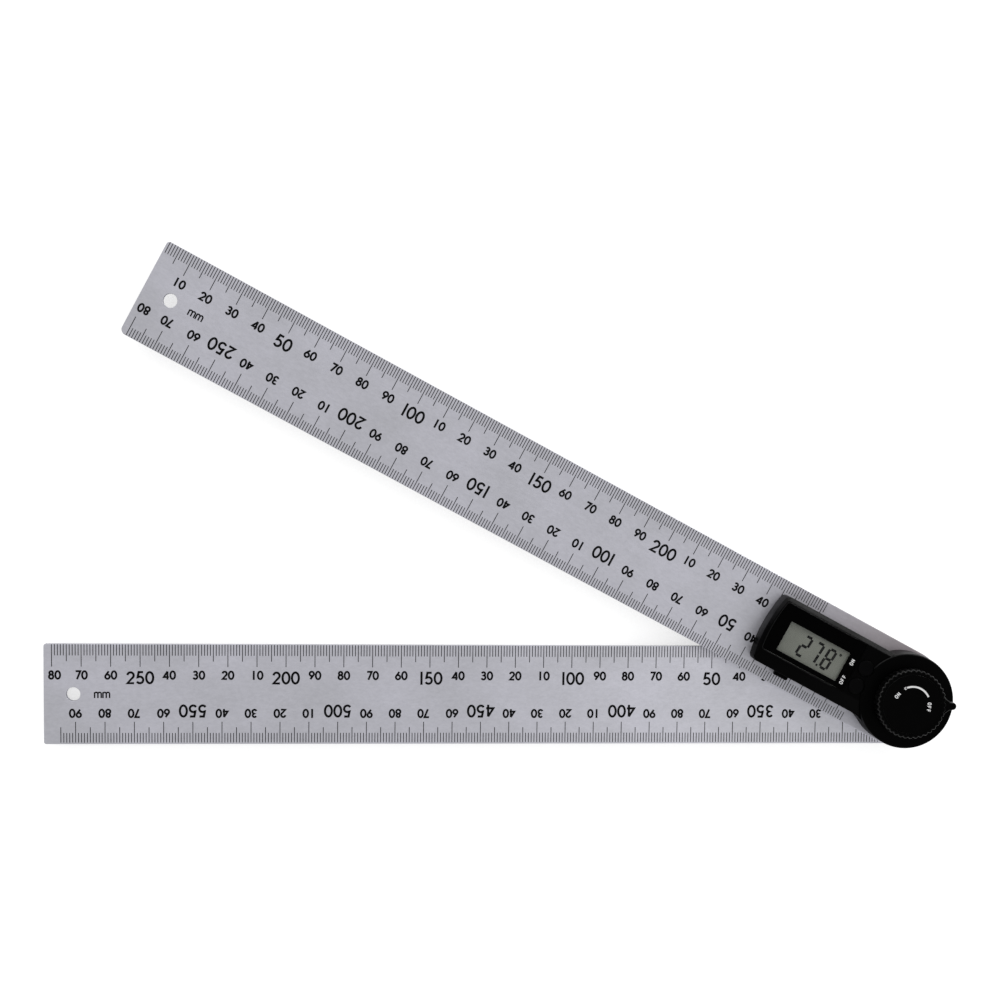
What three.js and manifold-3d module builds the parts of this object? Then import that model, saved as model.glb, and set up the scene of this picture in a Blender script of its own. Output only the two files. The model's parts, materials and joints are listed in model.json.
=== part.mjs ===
// Digital angle finder with two graduated steel arms, a display housing and a lock knob.
// Millimetres, +Z up. The origin is on the pivot axis, in the back face of the rear cover.
// The display arm runs along -X, and the rule arm is open from it by openAngle.
import * as THREE from 'three';
import { mergeVertices } from 'three/addons/utils/BufferGeometryUtils.js';
import Module from 'manifold-3d';

const wasm = await Module();
wasm.setup();

// Running and seating clearances
const seatGap = 0.1;
const sideGap = 0.15;
const runGap = 0.05;
const cutOverrun = 1.0;

// Arms
const armLength = 300;
const armWidth = 35;
const armThickness = 1.3;
const tipCornerRadius = 1.2;
const innerTipCornerRadius = 2.0;
const ruleTipCornerRadius = 0.8;
const hangHoleRadius = 2.4;
const hangHoleFromTip = 10;
const openAngle = THREE.MathUtils.degToRad(27.8);

// Pivot stack
const coverHeight = 2.8;
const coverRadius = 16.5;
const coverFloor = 1.1;
const coverEdge = 0.6;
const coverScrewCircle = 12.2;
const coverScrewCount = 3;
const washerThickness = 0.25;
const washerOuterRadius = 16;
const pivotRadius = 5.0;
const pivotFlatShare = 0.84;
const shaftFlangeRadius = 7.5;
const bushWall = 1.95;
const bushFlangeRadius = 8.4;
const bushFlangeThickness = 0.55;

// Housing shell
const boxEndX = -56.5;
const boxEndSag = 1.55;
const boxHalfWidth = 12.7;
const boxHeight = 7.75;
const boxCornerRadius = 2.0;
const wall = 1.4;
const ceiling = 1.4;
const upperChamferWidth = 1.8;
const upperChamferDrop = 1.1;
const lowerSlopeWidth = 4.8;
const lowerSlopeDrop = 2.2;
const endChamferWidth = 0.9;
const endChamferDrop = 1.9;
const drumRadius = 16.8;
const drumRise = 0.5;
const drumEdge = 0.5;
const neckFlareLength = 5.6;
const basePlateThickness = 0.7;
const bossRadius = 1.8;
const neckBossX = -20.8;
const neckBossShare = 0.71;
const drumBossCircle = 13.1;
const drumBossAngle = THREE.MathUtils.degToRad(55);

// Display
const bezelLeft = -55.1;
const bezelRim = 0.3;
const bezelRight = -21.9;
const bezelThickness = 0.8;
const bezelCornerRadius = 0.8;
const windowCentreX = -37.85;
const windowWidth = 24.2;
const windowLowerMargin = 1.8;
const windowUpperMargin = 5.2;
const paneThickness = 0.45;
const glassBorder = 1.3;
const glassContactBorder = 2.5;
const glassThickness = 1.0;
const zebraHeight = 0.45;
const zebraWidth = 1.3;

// Electronics
const boardThickness = 0.55;
const boardLeft = -53.4;
const boardRight = -14.8;
const boardLowerShare = 0.709;
const boardUpperShare = 0.827;
const chipSize = 6.0;
const chipThickness = 0.6;
const chipX = -47;
const chipDomeShare = 0.7;
const headerX = -16.6;
const headerLength = 7.5;
const headerWidth = 1.8;
const encoderRadius = 10.8;
const encoderBoardThickness = 0.8;
const encoderAirGap = 0.35;
const encoderRotorRadius = 10.2;
const rotorHubRadius = 4.0;
const rotorHubFlatShare = 0.8;

// Buttons
const buttonX = -18.6;
const buttonUpperShare = 0.26;
const buttonLowerShare = 0.3;
const buttonRadiusShare = 0.22;
const buttonProud = 0.45;
const buttonEdge = 0.35;
const buttonFlangeShare = 0.272;
const buttonFlangeThickness = 0.3;
const buttonTravel = 0.4;
const domeRadius = 2.2;
const domeHeight = 0.2;

// Battery tray and cell
const cellWallGap = 1.3;
const cellThickness = 3.2;
const cellEdge = 0.3;
const trayEndGap = 3.1;
const trayCellY = -0.35;
const trayBorder = 1.05;
const trayFloor = 0.3;
const trayInnerCut = 0.25;
const trayTabWidth = 5.3;
const trayTabReach = 1.35;
const trayTabHeight = 2.2;
const trayTabRise = 0.5;
const trayTabCorner = 0.5;
const contactThickness = 0.15;
const contactWidth = 3.0;
const contactLength = 5.0;

// Lock knob
const knobRadius = 12.2;
const knobHeight = 4.5;
const knobToothCount = 40;
const knobToothDepth = 0.45;
const knurlCrestShares = [0.2, 0.6];
const knurlValleyShares = [0.8, 1.0];
const knobSkirtRadius = 11.2;
const knobSkirtHeight = 1.0;
const knobTopRadius = 11.5;
const pointerAngle = THREE.MathUtils.degToRad(24.8);
const pointerReach = 15.9;
const pointerHalfWidth = 1.3;
const pointerRootHalfWidth = 3.8;
const pointerHeight = 2.6;
const knobLift = 0.35;
const capRadius = 10.4;
const capThickness = 0.8;
const studRadius = 3.0;
const insertRadius = 4.9;
const insertHeight = 2.4;
const insertLift = 0.6;
const thrustWasherRadius = 6.0;
const thrustWasherThickness = 0.4;
const waveWasherRadius = 6.8;
const waveWasherThickness = 0.3;
const studTopDrop = 1.6;
const keeperHeadRadius = 3.9;
const keeperHeadHeight = 0.6;
const keeperShankRadius = 1.2;
const keeperShankLength = 4.0;

// Small countersunk screws
const screwHeadRadius = 1.7;
const screwHeadHeight = 0.85;
const screwShankRadius = 0.8;
const screwHoleClearance = 0.12;
const housingScrewLength = 5.6;
const screwRecessDepth = 0.4;
const screwRecessWidth = 0.4;
const screwRecessLengthShare = 0.62;

// Numbers of sides and turns
const fineSides = 64;
const plainSides = 32;
const smallSides = 16;
const hexSides = 6;
const cornerSteps = 3;
const armSteps = 12;
const bowSteps = 8;
const fullTurn = 2 * Math.PI;

// Places that follow the box's width
const panelLower = -boxHalfWidth + lowerSlopeWidth + bezelRim;
const panelUpper = boxHalfWidth - upperChamferWidth - bezelRim;
const windowLower = panelLower + windowLowerMargin;
const windowUpper = panelUpper - windowUpperMargin;
const windowHeight = windowUpper - windowLower;
const windowCentreY = (windowUpper + windowLower) / 2;
const boardLowerY = -boxHalfWidth * boardLowerShare;
const boardUpperY = boxHalfWidth * boardUpperShare;
const neckBossY = boxHalfWidth * neckBossShare;
const buttonUpperY = boxHalfWidth * buttonUpperShare;
const buttonLowerY = -boxHalfWidth * buttonLowerShare;
const buttonRadius = boxHalfWidth * buttonRadiusShare;
const buttonFlangeRadius = boxHalfWidth * buttonFlangeShare;
const cellRadius = boxHalfWidth - wall - cellWallGap;
const trayWidth = 2 * (cellRadius + trayBorder);
const trayInnerY = trayCellY + cellRadius - trayInnerCut;
const trayCentreX = boxEndX + trayEndGap + trayWidth / 2;

// Levels, from the back face upwards
const armHalf = armWidth / 2;
const ruleArmBottom = coverHeight + seatGap;
const ruleArmTop = ruleArmBottom + armThickness;
const washerBottom = ruleArmTop + runGap;
const displayArmBottom = washerBottom + washerThickness + runGap;
const displayArmTop = displayArmBottom + armThickness;
const housingBottom = displayArmTop + seatGap;
const basePlateTop = housingBottom + basePlateThickness;
const boxTop = housingBottom + boxHeight;
const ceilingBottom = boxTop - ceiling;
const drumTop = boxTop + drumRise;
const bezelBottom = boxTop - bezelThickness;
const glassTop = bezelBottom - seatGap;
const glassBottom = glassTop - glassThickness;
const zebraBottom = glassBottom - runGap - zebraHeight;
const boardTop = zebraBottom - runGap;
const boardBottom = boardTop - boardThickness;
const trayBottom = basePlateTop + seatGap;
const cellBottom = trayBottom + trayFloor + runGap;
const cellTop = cellBottom + cellThickness;
const trayTop = cellTop + runGap;
const statorBottom = basePlateTop + sideGap;
const statorTop = statorBottom + encoderBoardThickness;
const rotorBottom = statorTop + encoderAirGap;
const rotorTop = rotorBottom + encoderBoardThickness;
const knobBottom = drumTop + knobLift;
const knobTop = knobBottom + knobHeight;
const capBottom = knobTop - capThickness;
const insertBottom = knobBottom + insertLift;
const insertTop = insertBottom + insertHeight;
const studTop = knobTop - studTopDrop;
const thrustWasherTop = insertBottom - runGap;
const thrustWasherBottom = thrustWasherTop - thrustWasherThickness;
const waveWasherBottom = drumTop + runGap;

// Solids
function manifoldOf(geometry) {
  const bare = geometry.clone();
  bare.deleteAttribute('normal');
  bare.deleteAttribute('uv');
  const merged = mergeVertices(bare);
  const corners = Array.from(merged.index.array);
  const kept = [];
  for (let i = 0; i < corners.length; i += 3) {
    const [a, b, c] = corners.slice(i, i + 3);
    if (a !== b && b !== c && c !== a) kept.push(a, b, c);
  }
  return new wasm.Manifold(new wasm.Mesh({
    numProp: 3,
    vertProperties: Float32Array.from(merged.attributes.position.array),
    triVerts: Uint32Array.from(kept),
  }));
}

function geometryOf(solid) {
  const mesh = solid.getMesh();
  const geometry = new THREE.BufferGeometry();
  geometry.setAttribute('position', new THREE.BufferAttribute(mesh.vertProperties, 3));
  geometry.setIndex(new THREE.BufferAttribute(mesh.triVerts, 1));
  geometry.computeVertexNormals();
  return geometry;
}

function slab(shape, bottom, top, curveSegments = cornerSteps) {
  const geometry = new THREE.ExtrudeGeometry(shape, {
    depth: top - bottom,
    bevelEnabled: false,
    curveSegments,
  });
  geometry.translate(0, 0, bottom);
  return manifoldOf(geometry);
}

function roundShape(radius, x = 0, y = 0) {
  const shape = new THREE.Shape();
  shape.absarc(x, y, radius, 0, fullTurn, false);
  return shape;
}

function disc(radius, bottom, top, { x = 0, y = 0, sides = plainSides } = {}) {
  return slab(roundShape(radius, x, y), bottom, top, sides / 2);
}

function ring(innerRadius, outerRadius, bottom, top, sides = plainSides) {
  const shape = roundShape(outerRadius);
  shape.holes.push(roundShape(innerRadius));
  return slab(shape, bottom, top, sides / 2);
}

function turned(points, sides = plainSides) {
  const profile = points.map(([radius, height]) => new THREE.Vector2(radius, height));
  const geometry = new THREE.LatheGeometry(profile, sides);
  geometry.rotateX(Math.PI / 2);
  return manifoldOf(geometry);
}

function polygon(points) {
  return new THREE.Shape(points.map(([x, y]) => new THREE.Vector2(x, y)));
}

function roundedRectangle(left, right, lower, upper, radius) {
  const shape = new THREE.Shape();
  shape.moveTo(left + radius, lower);
  shape.lineTo(right - radius, lower);
  shape.absarc(right - radius, lower + radius, radius, -Math.PI / 2, 0, false);
  shape.lineTo(right, upper - radius);
  shape.absarc(right - radius, upper - radius, radius, 0, Math.PI / 2, false);
  shape.lineTo(left + radius, upper);
  shape.absarc(left + radius, upper - radius, radius, Math.PI / 2, Math.PI, false);
  shape.lineTo(left, lower + radius);
  shape.absarc(left + radius, lower + radius, radius, Math.PI, 1.5 * Math.PI, false);
  return shape;
}

function block(left, right, lower, upper, bottom, top) {
  return slab(polygon([[left, lower], [right, lower], [right, upper], [left, upper]]), bottom, top);
}

// A profile given as (y, z) and drawn out along X
function drawnAlongX(points, left, right) {
  const geometry = new THREE.ExtrudeGeometry(polygon(points), { depth: right - left, bevelEnabled: false });
  geometry.rotateX(Math.PI / 2);
  geometry.rotateZ(Math.PI / 2);
  geometry.translate(left, 0, 0);
  return manifoldOf(geometry);
}

// A profile given as (x, z) and drawn out along Y
function drawnAlongY(points, lower, upper) {
  const geometry = new THREE.ExtrudeGeometry(polygon(points), { depth: upper - lower, bevelEnabled: false });
  geometry.rotateX(Math.PI / 2);
  geometry.translate(0, upper, 0);
  return manifoldOf(geometry);
}

// A round bar with two flats, which carries the turn from a key hole
function flattedBar(radius, flatShare, bottom, top) {
  const flat = radius * flatShare;
  const reach = radius + cutOverrun;
  return disc(radius, bottom, top).intersect(block(-reach, reach, -flat, flat, bottom, top));
}

// Graduated arms
function armOutline(outer, inner) {
  const shape = new THREE.Shape();
  shape.moveTo(0, -armHalf);
  shape.absarc(0, 0, armHalf, -Math.PI / 2, Math.PI / 2, false);
  shape.lineTo(-armLength + outer, armHalf);
  shape.absarc(-armLength + outer, armHalf - outer, outer, Math.PI / 2, Math.PI, false);
  shape.lineTo(-armLength, -armHalf + inner);
  shape.absarc(-armLength + inner, -armHalf + inner, inner, Math.PI, 1.5 * Math.PI, false);
  shape.holes.push(roundShape(hangHoleRadius, -armLength + hangHoleFromTip, 0));
  return shape;
}

function countersunkHole(x, y, bottom, top, sunkFrom) {
  const rim = screwHeadRadius + screwHoleClearance;
  const throat = screwShankRadius + screwHoleClearance;
  const neck = sunkFrom + screwHeadHeight;
  const hole = turned([
    [0, bottom], [rim, bottom], [rim, sunkFrom], [throat, neck], [throat, top], [0, top],
  ], smallSides);
  return hole.translate([x, y, 0]);
}

function housingScrewPlaces() {
  const places = [[neckBossX, neckBossY], [neckBossX, -neckBossY]];
  for (const side of [1, -1]) {
    const angle = side * drumBossAngle;
    places.push([drumBossCircle * Math.cos(angle), drumBossCircle * Math.sin(angle)]);
  }
  return places;
}

function coverScrewPlaces() {
  return Array.from({ length: coverScrewCount }, (_, i) => {
    const angle = (i * fullTurn) / coverScrewCount;
    return [coverScrewCircle * Math.cos(angle), coverScrewCircle * Math.sin(angle)];
  });
}

function displayArm() {
  const outline = armOutline(tipCornerRadius, innerTipCornerRadius);
  let arm = slab(outline, displayArmBottom, displayArmTop, armSteps);
  const below = displayArmBottom - cutOverrun;
  const above = displayArmTop + cutOverrun;
  arm = arm.subtract(disc(pivotRadius + bushWall + 2 * runGap, below, above));
  for (const [x, y] of housingScrewPlaces()) {
    arm = arm.subtract(countersunkHole(x, y, below, above, displayArmBottom));
  }
  return arm;
}

function ruleArm() {
  const outline = armOutline(ruleTipCornerRadius, ruleTipCornerRadius);
  let arm = slab(outline, ruleArmBottom, ruleArmTop, armSteps);
  const below = ruleArmBottom - cutOverrun;
  const above = ruleArmTop + cutOverrun;
  arm = arm.subtract(flattedBar(pivotRadius + sideGap, pivotFlatShare, below, above));
  for (const [x, y] of coverScrewPlaces()) {
    const throat = screwShankRadius + screwHoleClearance;
    arm = arm.subtract(disc(throat, below, above, { x, y, sides: smallSides }));
  }
  return arm;
}

// Rear cover and pivot
function rearCover() {
  const edge = coverEdge;
  const pocket = shaftFlangeRadius + sideGap;
  let cover = turned([
    [0, 0], [coverRadius - edge, 0], [coverRadius, edge], [coverRadius, coverHeight],
    [pocket, coverHeight], [pocket, coverFloor], [0, coverFloor],
  ], fineSides);
  for (const [x, y] of coverScrewPlaces()) {
    cover = cover.subtract(countersunkHole(x, y, -cutOverrun, coverHeight + cutOverrun, screwRecessDepth));
  }
  return cover;
}

function pivotShaft() {
  const flangeBottom = coverFloor + seatGap;
  const flangeTop = ruleArmBottom - runGap;
  const shoulder = rotorBottom - runGap;
  const hubTop = rotorTop + sideGap;
  const bore = keeperShankRadius + runGap;
  const boreBottom = studTop - keeperShankLength - sideGap;
  return disc(shaftFlangeRadius, flangeBottom, flangeTop)
    .add(flattedBar(pivotRadius, pivotFlatShare, flangeBottom, ruleArmTop))
    .add(disc(pivotRadius, ruleArmTop, shoulder))
    .add(flattedBar(rotorHubRadius, rotorHubFlatShare, ruleArmTop, hubTop))
    .add(disc(studRadius, ruleArmTop, studTop))
    .subtract(disc(bore, boreBottom, studTop + cutOverrun, { sides: smallSides }));
}

function slideWasher() {
  return ring(pivotRadius + sideGap, washerOuterRadius, washerBottom, washerBottom + washerThickness, fineSides);
}

function pivotBush() {
  const bore = pivotRadius + runGap;
  const body = bore + bushWall;
  const flangeBottom = displayArmTop + runGap;
  return ring(bore, body, displayArmBottom, flangeBottom)
    .add(ring(bore, bushFlangeRadius, flangeBottom, flangeBottom + bushFlangeThickness));
}

function countersunkScrew(headBottom, length) {
  const neck = headBottom + screwHeadHeight;
  const screw = turned([
    [0, headBottom], [screwHeadRadius, headBottom], [screwShankRadius, neck],
    [screwShankRadius, headBottom + length], [0, headBottom + length],
  ], smallSides);
  const arm = screwHeadRadius * screwRecessLengthShare;
  const half = screwRecessWidth / 2;
  const low = headBottom - cutOverrun;
  const high = headBottom + screwRecessDepth;
  return screw
    .subtract(block(-arm, arm, -half, half, low, high))
    .subtract(block(-half, half, -arm, arm, low, high));
}

// Housing
// A plan whose left end bows outwards and falls back by boxEndSag towards the long sides
function bowedPlan(left, right, lower, upper, radius) {
  const fall = boxEndSag / boxHalfWidth ** 2;
  const highLean = Math.atan(2 * fall * (upper - radius));
  const lowLean = Math.atan(2 * fall * (lower + radius));
  const highY = upper - radius + radius * Math.sin(highLean);
  const lowY = lower + radius + radius * Math.sin(lowLean);
  const highX = left + fall * highY ** 2 + radius * Math.cos(highLean);
  const lowX = left + fall * lowY ** 2 + radius * Math.cos(lowLean);
  const shape = new THREE.Shape();
  shape.moveTo(right, lower);
  shape.lineTo(right, upper);
  shape.lineTo(highX, upper);
  shape.absarc(highX, upper - radius, radius, Math.PI / 2, Math.PI - highLean, false);
  shape.quadraticCurveTo(left + fall * highY * lowY, (highY + lowY) / 2, left + fall * lowY ** 2, lowY);
  shape.absarc(lowX, lower + radius, radius, Math.PI - lowLean, 1.5 * Math.PI, false);
  return shape;
}

function boxPlan(inset, right) {
  const half = boxHalfWidth - inset;
  const radius = Math.max(boxCornerRadius - inset, boxCornerRadius / 2);
  return bowedPlan(boxEndX + inset, right, -half, half, radius);
}

function boxSection(inset, drop) {
  const half = boxHalfWidth - inset;
  const top = boxTop - drop;
  return [
    [-half, housingBottom],
    [half, housingBottom],
    [half, top - upperChamferDrop],
    [boxHalfWidth - upperChamferWidth, top],
    [-boxHalfWidth + lowerSlopeWidth, top],
    [-half, top - lowerSlopeDrop + inset * (lowerSlopeDrop / lowerSlopeWidth)],
  ];
}

// The box with its steep bevel along the bowed end
function boxBlank() {
  const sectionEnd = boxEndX - cutOverrun;
  const lower = slab(boxPlan(0, 0), housingBottom, boxTop - endChamferDrop, bowSteps);
  const crown = slab(boxPlan(0, -endChamferWidth), boxTop - seatGap, boxTop, bowSteps)
    .translate([endChamferWidth, 0, 0]);
  return wasm.Manifold.hull([lower, crown]).intersect(drawnAlongX(boxSection(0, 0), sectionEnd, 0));
}

function neckFlare() {
  const startX = -Math.sqrt(drumRadius ** 2 - boxHalfWidth ** 2);
  const meetAngle = Math.atan2(-boxHalfWidth, startX) + neckFlareLength / (2 * drumRadius);
  return polygon([
    [startX - neckFlareLength / 2, -boxHalfWidth],
    [startX, -boxHalfWidth + wall],
    [drumRadius * Math.cos(meetAngle), drumRadius * Math.sin(meetAngle)],
  ]);
}

function housingShell() {
  const edge = drumEdge;
  const sectionEnd = boxEndX - cutOverrun;
  const box = boxBlank();
  const drum = turned([
    [0, housingBottom], [drumRadius, housingBottom], [drumRadius, drumTop - edge],
    [drumRadius - edge, drumTop], [0, drumTop],
  ], fineSides);
  const flare = slab(neckFlare(), housingBottom, boxTop - lowerSlopeDrop);
  const below = housingBottom - cutOverrun;
  const boxRoom = slab(boxPlan(wall, 0), below, boxTop, bowSteps)
    .intersect(drawnAlongX(boxSection(wall, ceiling), sectionEnd, 0)
      .add(block(sectionEnd, 0, -boxHalfWidth, boxHalfWidth, below, housingBottom)));
  const drumRoom = disc(drumRadius - wall, below, ceilingBottom, { sides: fineSides });
  let shell = box.add(drum).add(flare).subtract(boxRoom.add(drumRoom));
  for (const [x, y] of housingScrewPlaces()) {
    const boss = disc(bossRadius, basePlateTop + seatGap, ceilingBottom, { x, y, sides: smallSides });
    shell = shell.add(boss.add(disc(bossRadius, ceilingBottom, bezelBottom, { x, y, sides: smallSides })
      .intersect(box.add(drum))));
  }
  for (const [x, y] of housingScrewPlaces()) {
    const pilot = screwShankRadius + screwHoleClearance;
    const pilotTop = displayArmBottom + housingScrewLength + sideGap;
    shell = shell.subtract(disc(pilot, below, pilotTop, { x, y, sides: smallSides }));
  }
  return shell
    .subtract(bezelRecess())
    .subtract(glassRoom())
    .subtract(trayWindow())
    .subtract(buttonHole(buttonUpperY))
    .subtract(buttonHole(buttonLowerY))
    .subtract(disc(studRadius + sideGap, ceilingBottom - cutOverrun, drumTop + cutOverrun));
}

function bezelShape(inset) {
  const lower = panelLower + inset;
  const upper = panelUpper - inset;
  return bowedPlan(bezelLeft + inset, bezelRight - inset, lower, upper, bezelCornerRadius);
}

function bezelRecess() {
  return slab(bezelShape(0), bezelBottom, boxTop + cutOverrun, bowSteps);
}

function glassEdges(grow) {
  return {
    left: windowCentreX - windowWidth / 2 - glassBorder - grow,
    right: windowCentreX + windowWidth / 2 + glassBorder + grow,
    lower: windowCentreY - windowHeight / 2 - glassContactBorder - grow,
    upper: windowCentreY + windowHeight / 2 + glassBorder + grow,
  };
}

function glassRoom() {
  const room = glassEdges(sideGap);
  const lower = Math.max(room.lower, -boxHalfWidth + lowerSlopeWidth + sideGap);
  const roomBottom = ceilingBottom - ceiling;
  return block(room.left, room.right, lower, room.upper, roomBottom, bezelBottom + runGap);
}

function trayWindow() {
  const half = trayWidth / 2 + sideGap;
  return block(
    trayCentreX - half, trayCentreX + half,
    -boxHalfWidth - cutOverrun, -boxHalfWidth + wall + cutOverrun,
    basePlateTop, trayTop + sideGap,
  );
}

function buttonHole(y) {
  return disc(buttonRadius + sideGap, ceilingBottom - cutOverrun, boxTop + cutOverrun, { x: buttonX, y });
}

function basePlate() {
  const inset = wall + sideGap;
  const drumPlate = disc(drumRadius - inset, housingBottom, basePlateTop, { sides: fineSides });
  let plate = slab(boxPlan(inset, 0), housingBottom, basePlateTop, bowSteps).add(drumPlate);
  const below = housingBottom - cutOverrun;
  const above = basePlateTop + cutOverrun;
  plate = plate.subtract(disc(bushFlangeRadius + sideGap, below, above));
  for (const [x, y] of housingScrewPlaces()) {
    const hole = screwShankRadius + screwHoleClearance;
    plate = plate.subtract(disc(hole, below, above, { x, y, sides: smallSides }));
  }
  return plate;
}

function displayBezel() {
  const half = windowWidth / 2;
  const halfHeight = windowHeight / 2;
  const plate = slab(bezelShape(sideGap), bezelBottom + seatGap, boxTop, bowSteps);
  return plate.subtract(block(
    windowCentreX - half, windowCentreX + half, windowCentreY - halfHeight, windowCentreY + halfHeight,
    bezelBottom, boxTop + cutOverrun,
  ));
}

function displayWindow() {
  const half = windowWidth / 2 - runGap;
  const halfHeight = windowHeight / 2 - runGap;
  const bottom = bezelBottom + seatGap;
  return block(
    windowCentreX - half, windowCentreX + half, windowCentreY - halfHeight, windowCentreY + halfHeight,
    bottom, bottom + paneThickness,
  );
}

function displayGlass() {
  const glass = glassEdges(0);
  const lower = Math.max(glass.lower, -boxHalfWidth + lowerSlopeWidth + 2 * sideGap);
  return block(glass.left, glass.right, lower, glass.upper, glassBottom, glassTop);
}

function zebraStrip() {
  const glass = glassEdges(0);
  const lower = Math.max(glass.lower, -boxHalfWidth + lowerSlopeWidth + 2 * sideGap) + sideGap;
  return block(
    glass.left + sideGap, glass.right - sideGap, lower, lower + zebraWidth,
    zebraBottom, zebraBottom + zebraHeight,
  );
}

// Electronics
function circuitBoard() {
  let board = block(boardLeft, boardRight, boardLowerY, boardUpperY, boardBottom, boardTop);
  for (const [x, y] of housingScrewPlaces()) {
    const notch = disc(bossRadius + 2 * sideGap, boardBottom - cutOverrun, boardTop + cutOverrun,
      { x, y, sides: smallSides });
    board = board.subtract(notch);
  }
  return board;
}

function controllerChip() {
  const top = zebraBottom + zebraHeight - runGap;
  const bottom = boardTop + runGap;
  const half = chipSize / 2;
  const crown = Math.min(chipThickness, top - bottom);
  return turned([
    [0, bottom], [half, bottom], [half * chipDomeShare, bottom + crown], [0, bottom + crown],
  ], smallSides).translate([chipX, windowCentreY, 0]);
}

function boardHeader() {
  const half = headerLength / 2;
  return block(
    headerX - headerWidth / 2, headerX + headerWidth / 2, -half, half,
    statorTop + runGap, boardBottom - runGap,
  );
}

function encoderStator() {
  const tongueEnd = headerX - headerWidth;
  const half = headerLength / 2 + sideGap;
  return disc(encoderRadius, statorBottom, statorTop, { sides: fineSides })
    .add(block(tongueEnd, -encoderRadius / 2, -half, half, statorBottom, statorTop))
    .subtract(disc(pivotRadius + 2 * sideGap, statorBottom - cutOverrun, statorTop + cutOverrun));
}

function encoderRotor() {
  const bore = rotorHubRadius + runGap;
  return disc(encoderRotorRadius, rotorBottom, rotorTop, { sides: fineSides })
    .subtract(flattedBar(bore, rotorHubFlatShare, rotorBottom - cutOverrun, rotorTop + cutOverrun));
}

// Buttons
function buttonCap(y) {
  const flangeTop = ceilingBottom - runGap;
  const flangeBottom = flangeTop - buttonFlangeThickness;
  const top = boxTop + buttonProud;
  const edge = buttonEdge;
  return turned([
    [0, flangeBottom], [buttonFlangeRadius, flangeBottom], [buttonFlangeRadius, flangeTop],
    [buttonRadius, flangeTop], [buttonRadius, top - edge], [buttonRadius - edge, top], [0, top],
  ]).translate([buttonX, y, 0]);
}

function domeSwitch(y) {
  const bottom = boardTop + runGap;
  const crown = domeRadius / 2;
  return turned([
    [0, bottom], [domeRadius, bottom], [crown, bottom + domeHeight], [0, bottom + domeHeight],
  ], smallSides).translate([buttonX, y, 0]);
}

// Battery
function batteryTray() {
  const half = trayWidth / 2;
  const tabHalf = trayTabWidth / 2;
  const frontY = -boxHalfWidth;
  const tabBottom = trayBottom + trayTabRise;
  const body = block(trayCentreX - half, trayCentreX + half, frontY, trayInnerY, trayBottom, trayTop);
  const pocket = disc(cellRadius + sideGap, trayBottom + trayFloor, trayTop + cutOverrun,
    { x: trayCentreX, y: trayCellY, sides: fineSides });
  const tab = roundedRectangle(
    trayCentreX - tabHalf, trayCentreX + tabHalf,
    frontY - trayTabReach, frontY + wall, trayTabCorner,
  );
  return body.subtract(pocket).add(slab(tab, tabBottom, tabBottom + trayTabHeight));
}

function coinCell() {
  const edge = cellEdge;
  const rim = cellRadius - edge;
  return turned([
    [0, cellBottom], [cellRadius - edge, cellBottom], [cellRadius, cellBottom + edge],
    [cellRadius, cellTop - edge], [rim, cellTop], [0, cellTop],
  ], fineSides).translate([trayCentreX, trayCellY, 0]);
}

function cellTopContact() {
  const top = boardBottom - runGap;
  const low = trayTop + runGap;
  const t = contactThickness;
  const left = trayCentreX - contactLength / 2;
  const right = trayCentreX + contactLength / 2;
  return drawnAlongY([
    [left, top - t], [left + 2 * t, top - t], [right - 2 * t, low], [right, low],
    [right, low + t], [right - t, low + t], [left + contactLength / 2, top], [left, top],
  ], trayCellY - contactWidth / 2, trayCellY + contactWidth / 2);
}

function cellSideContact() {
  const near = trayCellY + cellRadius + sideGap;
  const half = contactLength / 2;
  return block(trayCentreX - half, trayCentreX + half, near, near + 2 * contactThickness,
    cellBottom + sideGap, boardBottom - runGap);
}

// Lock knob
function pointerShape() {
  const neckX = pointerReach - pointerHalfWidth;
  const rootX = knobRadius * Math.cos(pointerRootHalfWidth / knobRadius) - knobToothDepth;
  const shape = new THREE.Shape();
  shape.moveTo(rootX / 2, -pointerRootHalfWidth);
  shape.lineTo(rootX, -pointerRootHalfWidth);
  shape.quadraticCurveTo(knobRadius + knobToothDepth, -pointerHalfWidth, neckX, -pointerHalfWidth);
  shape.absarc(neckX, 0, pointerHalfWidth, -Math.PI / 2, Math.PI / 2, false);
  shape.quadraticCurveTo(knobRadius + knobToothDepth, pointerHalfWidth, rootX, pointerRootHalfWidth);
  shape.lineTo(rootX / 2, pointerRootHalfWidth);
  return shape;
}

function knurledShape() {
  const points = [];
  for (let i = 0; i < knobToothCount; i += 1) {
    const pitch = fullTurn / knobToothCount;
    const start = i * pitch;
    const valley = knobRadius - knobToothDepth;
    for (const share of knurlCrestShares) {
      const angle = start + share * pitch;
      points.push([knobRadius * Math.cos(angle), knobRadius * Math.sin(angle)]);
    }
    for (const share of knurlValleyShares) {
      const angle = start + share * pitch;
      points.push([valley * Math.cos(angle), valley * Math.sin(angle)]);
    }
  }
  return polygon(points);
}

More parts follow.
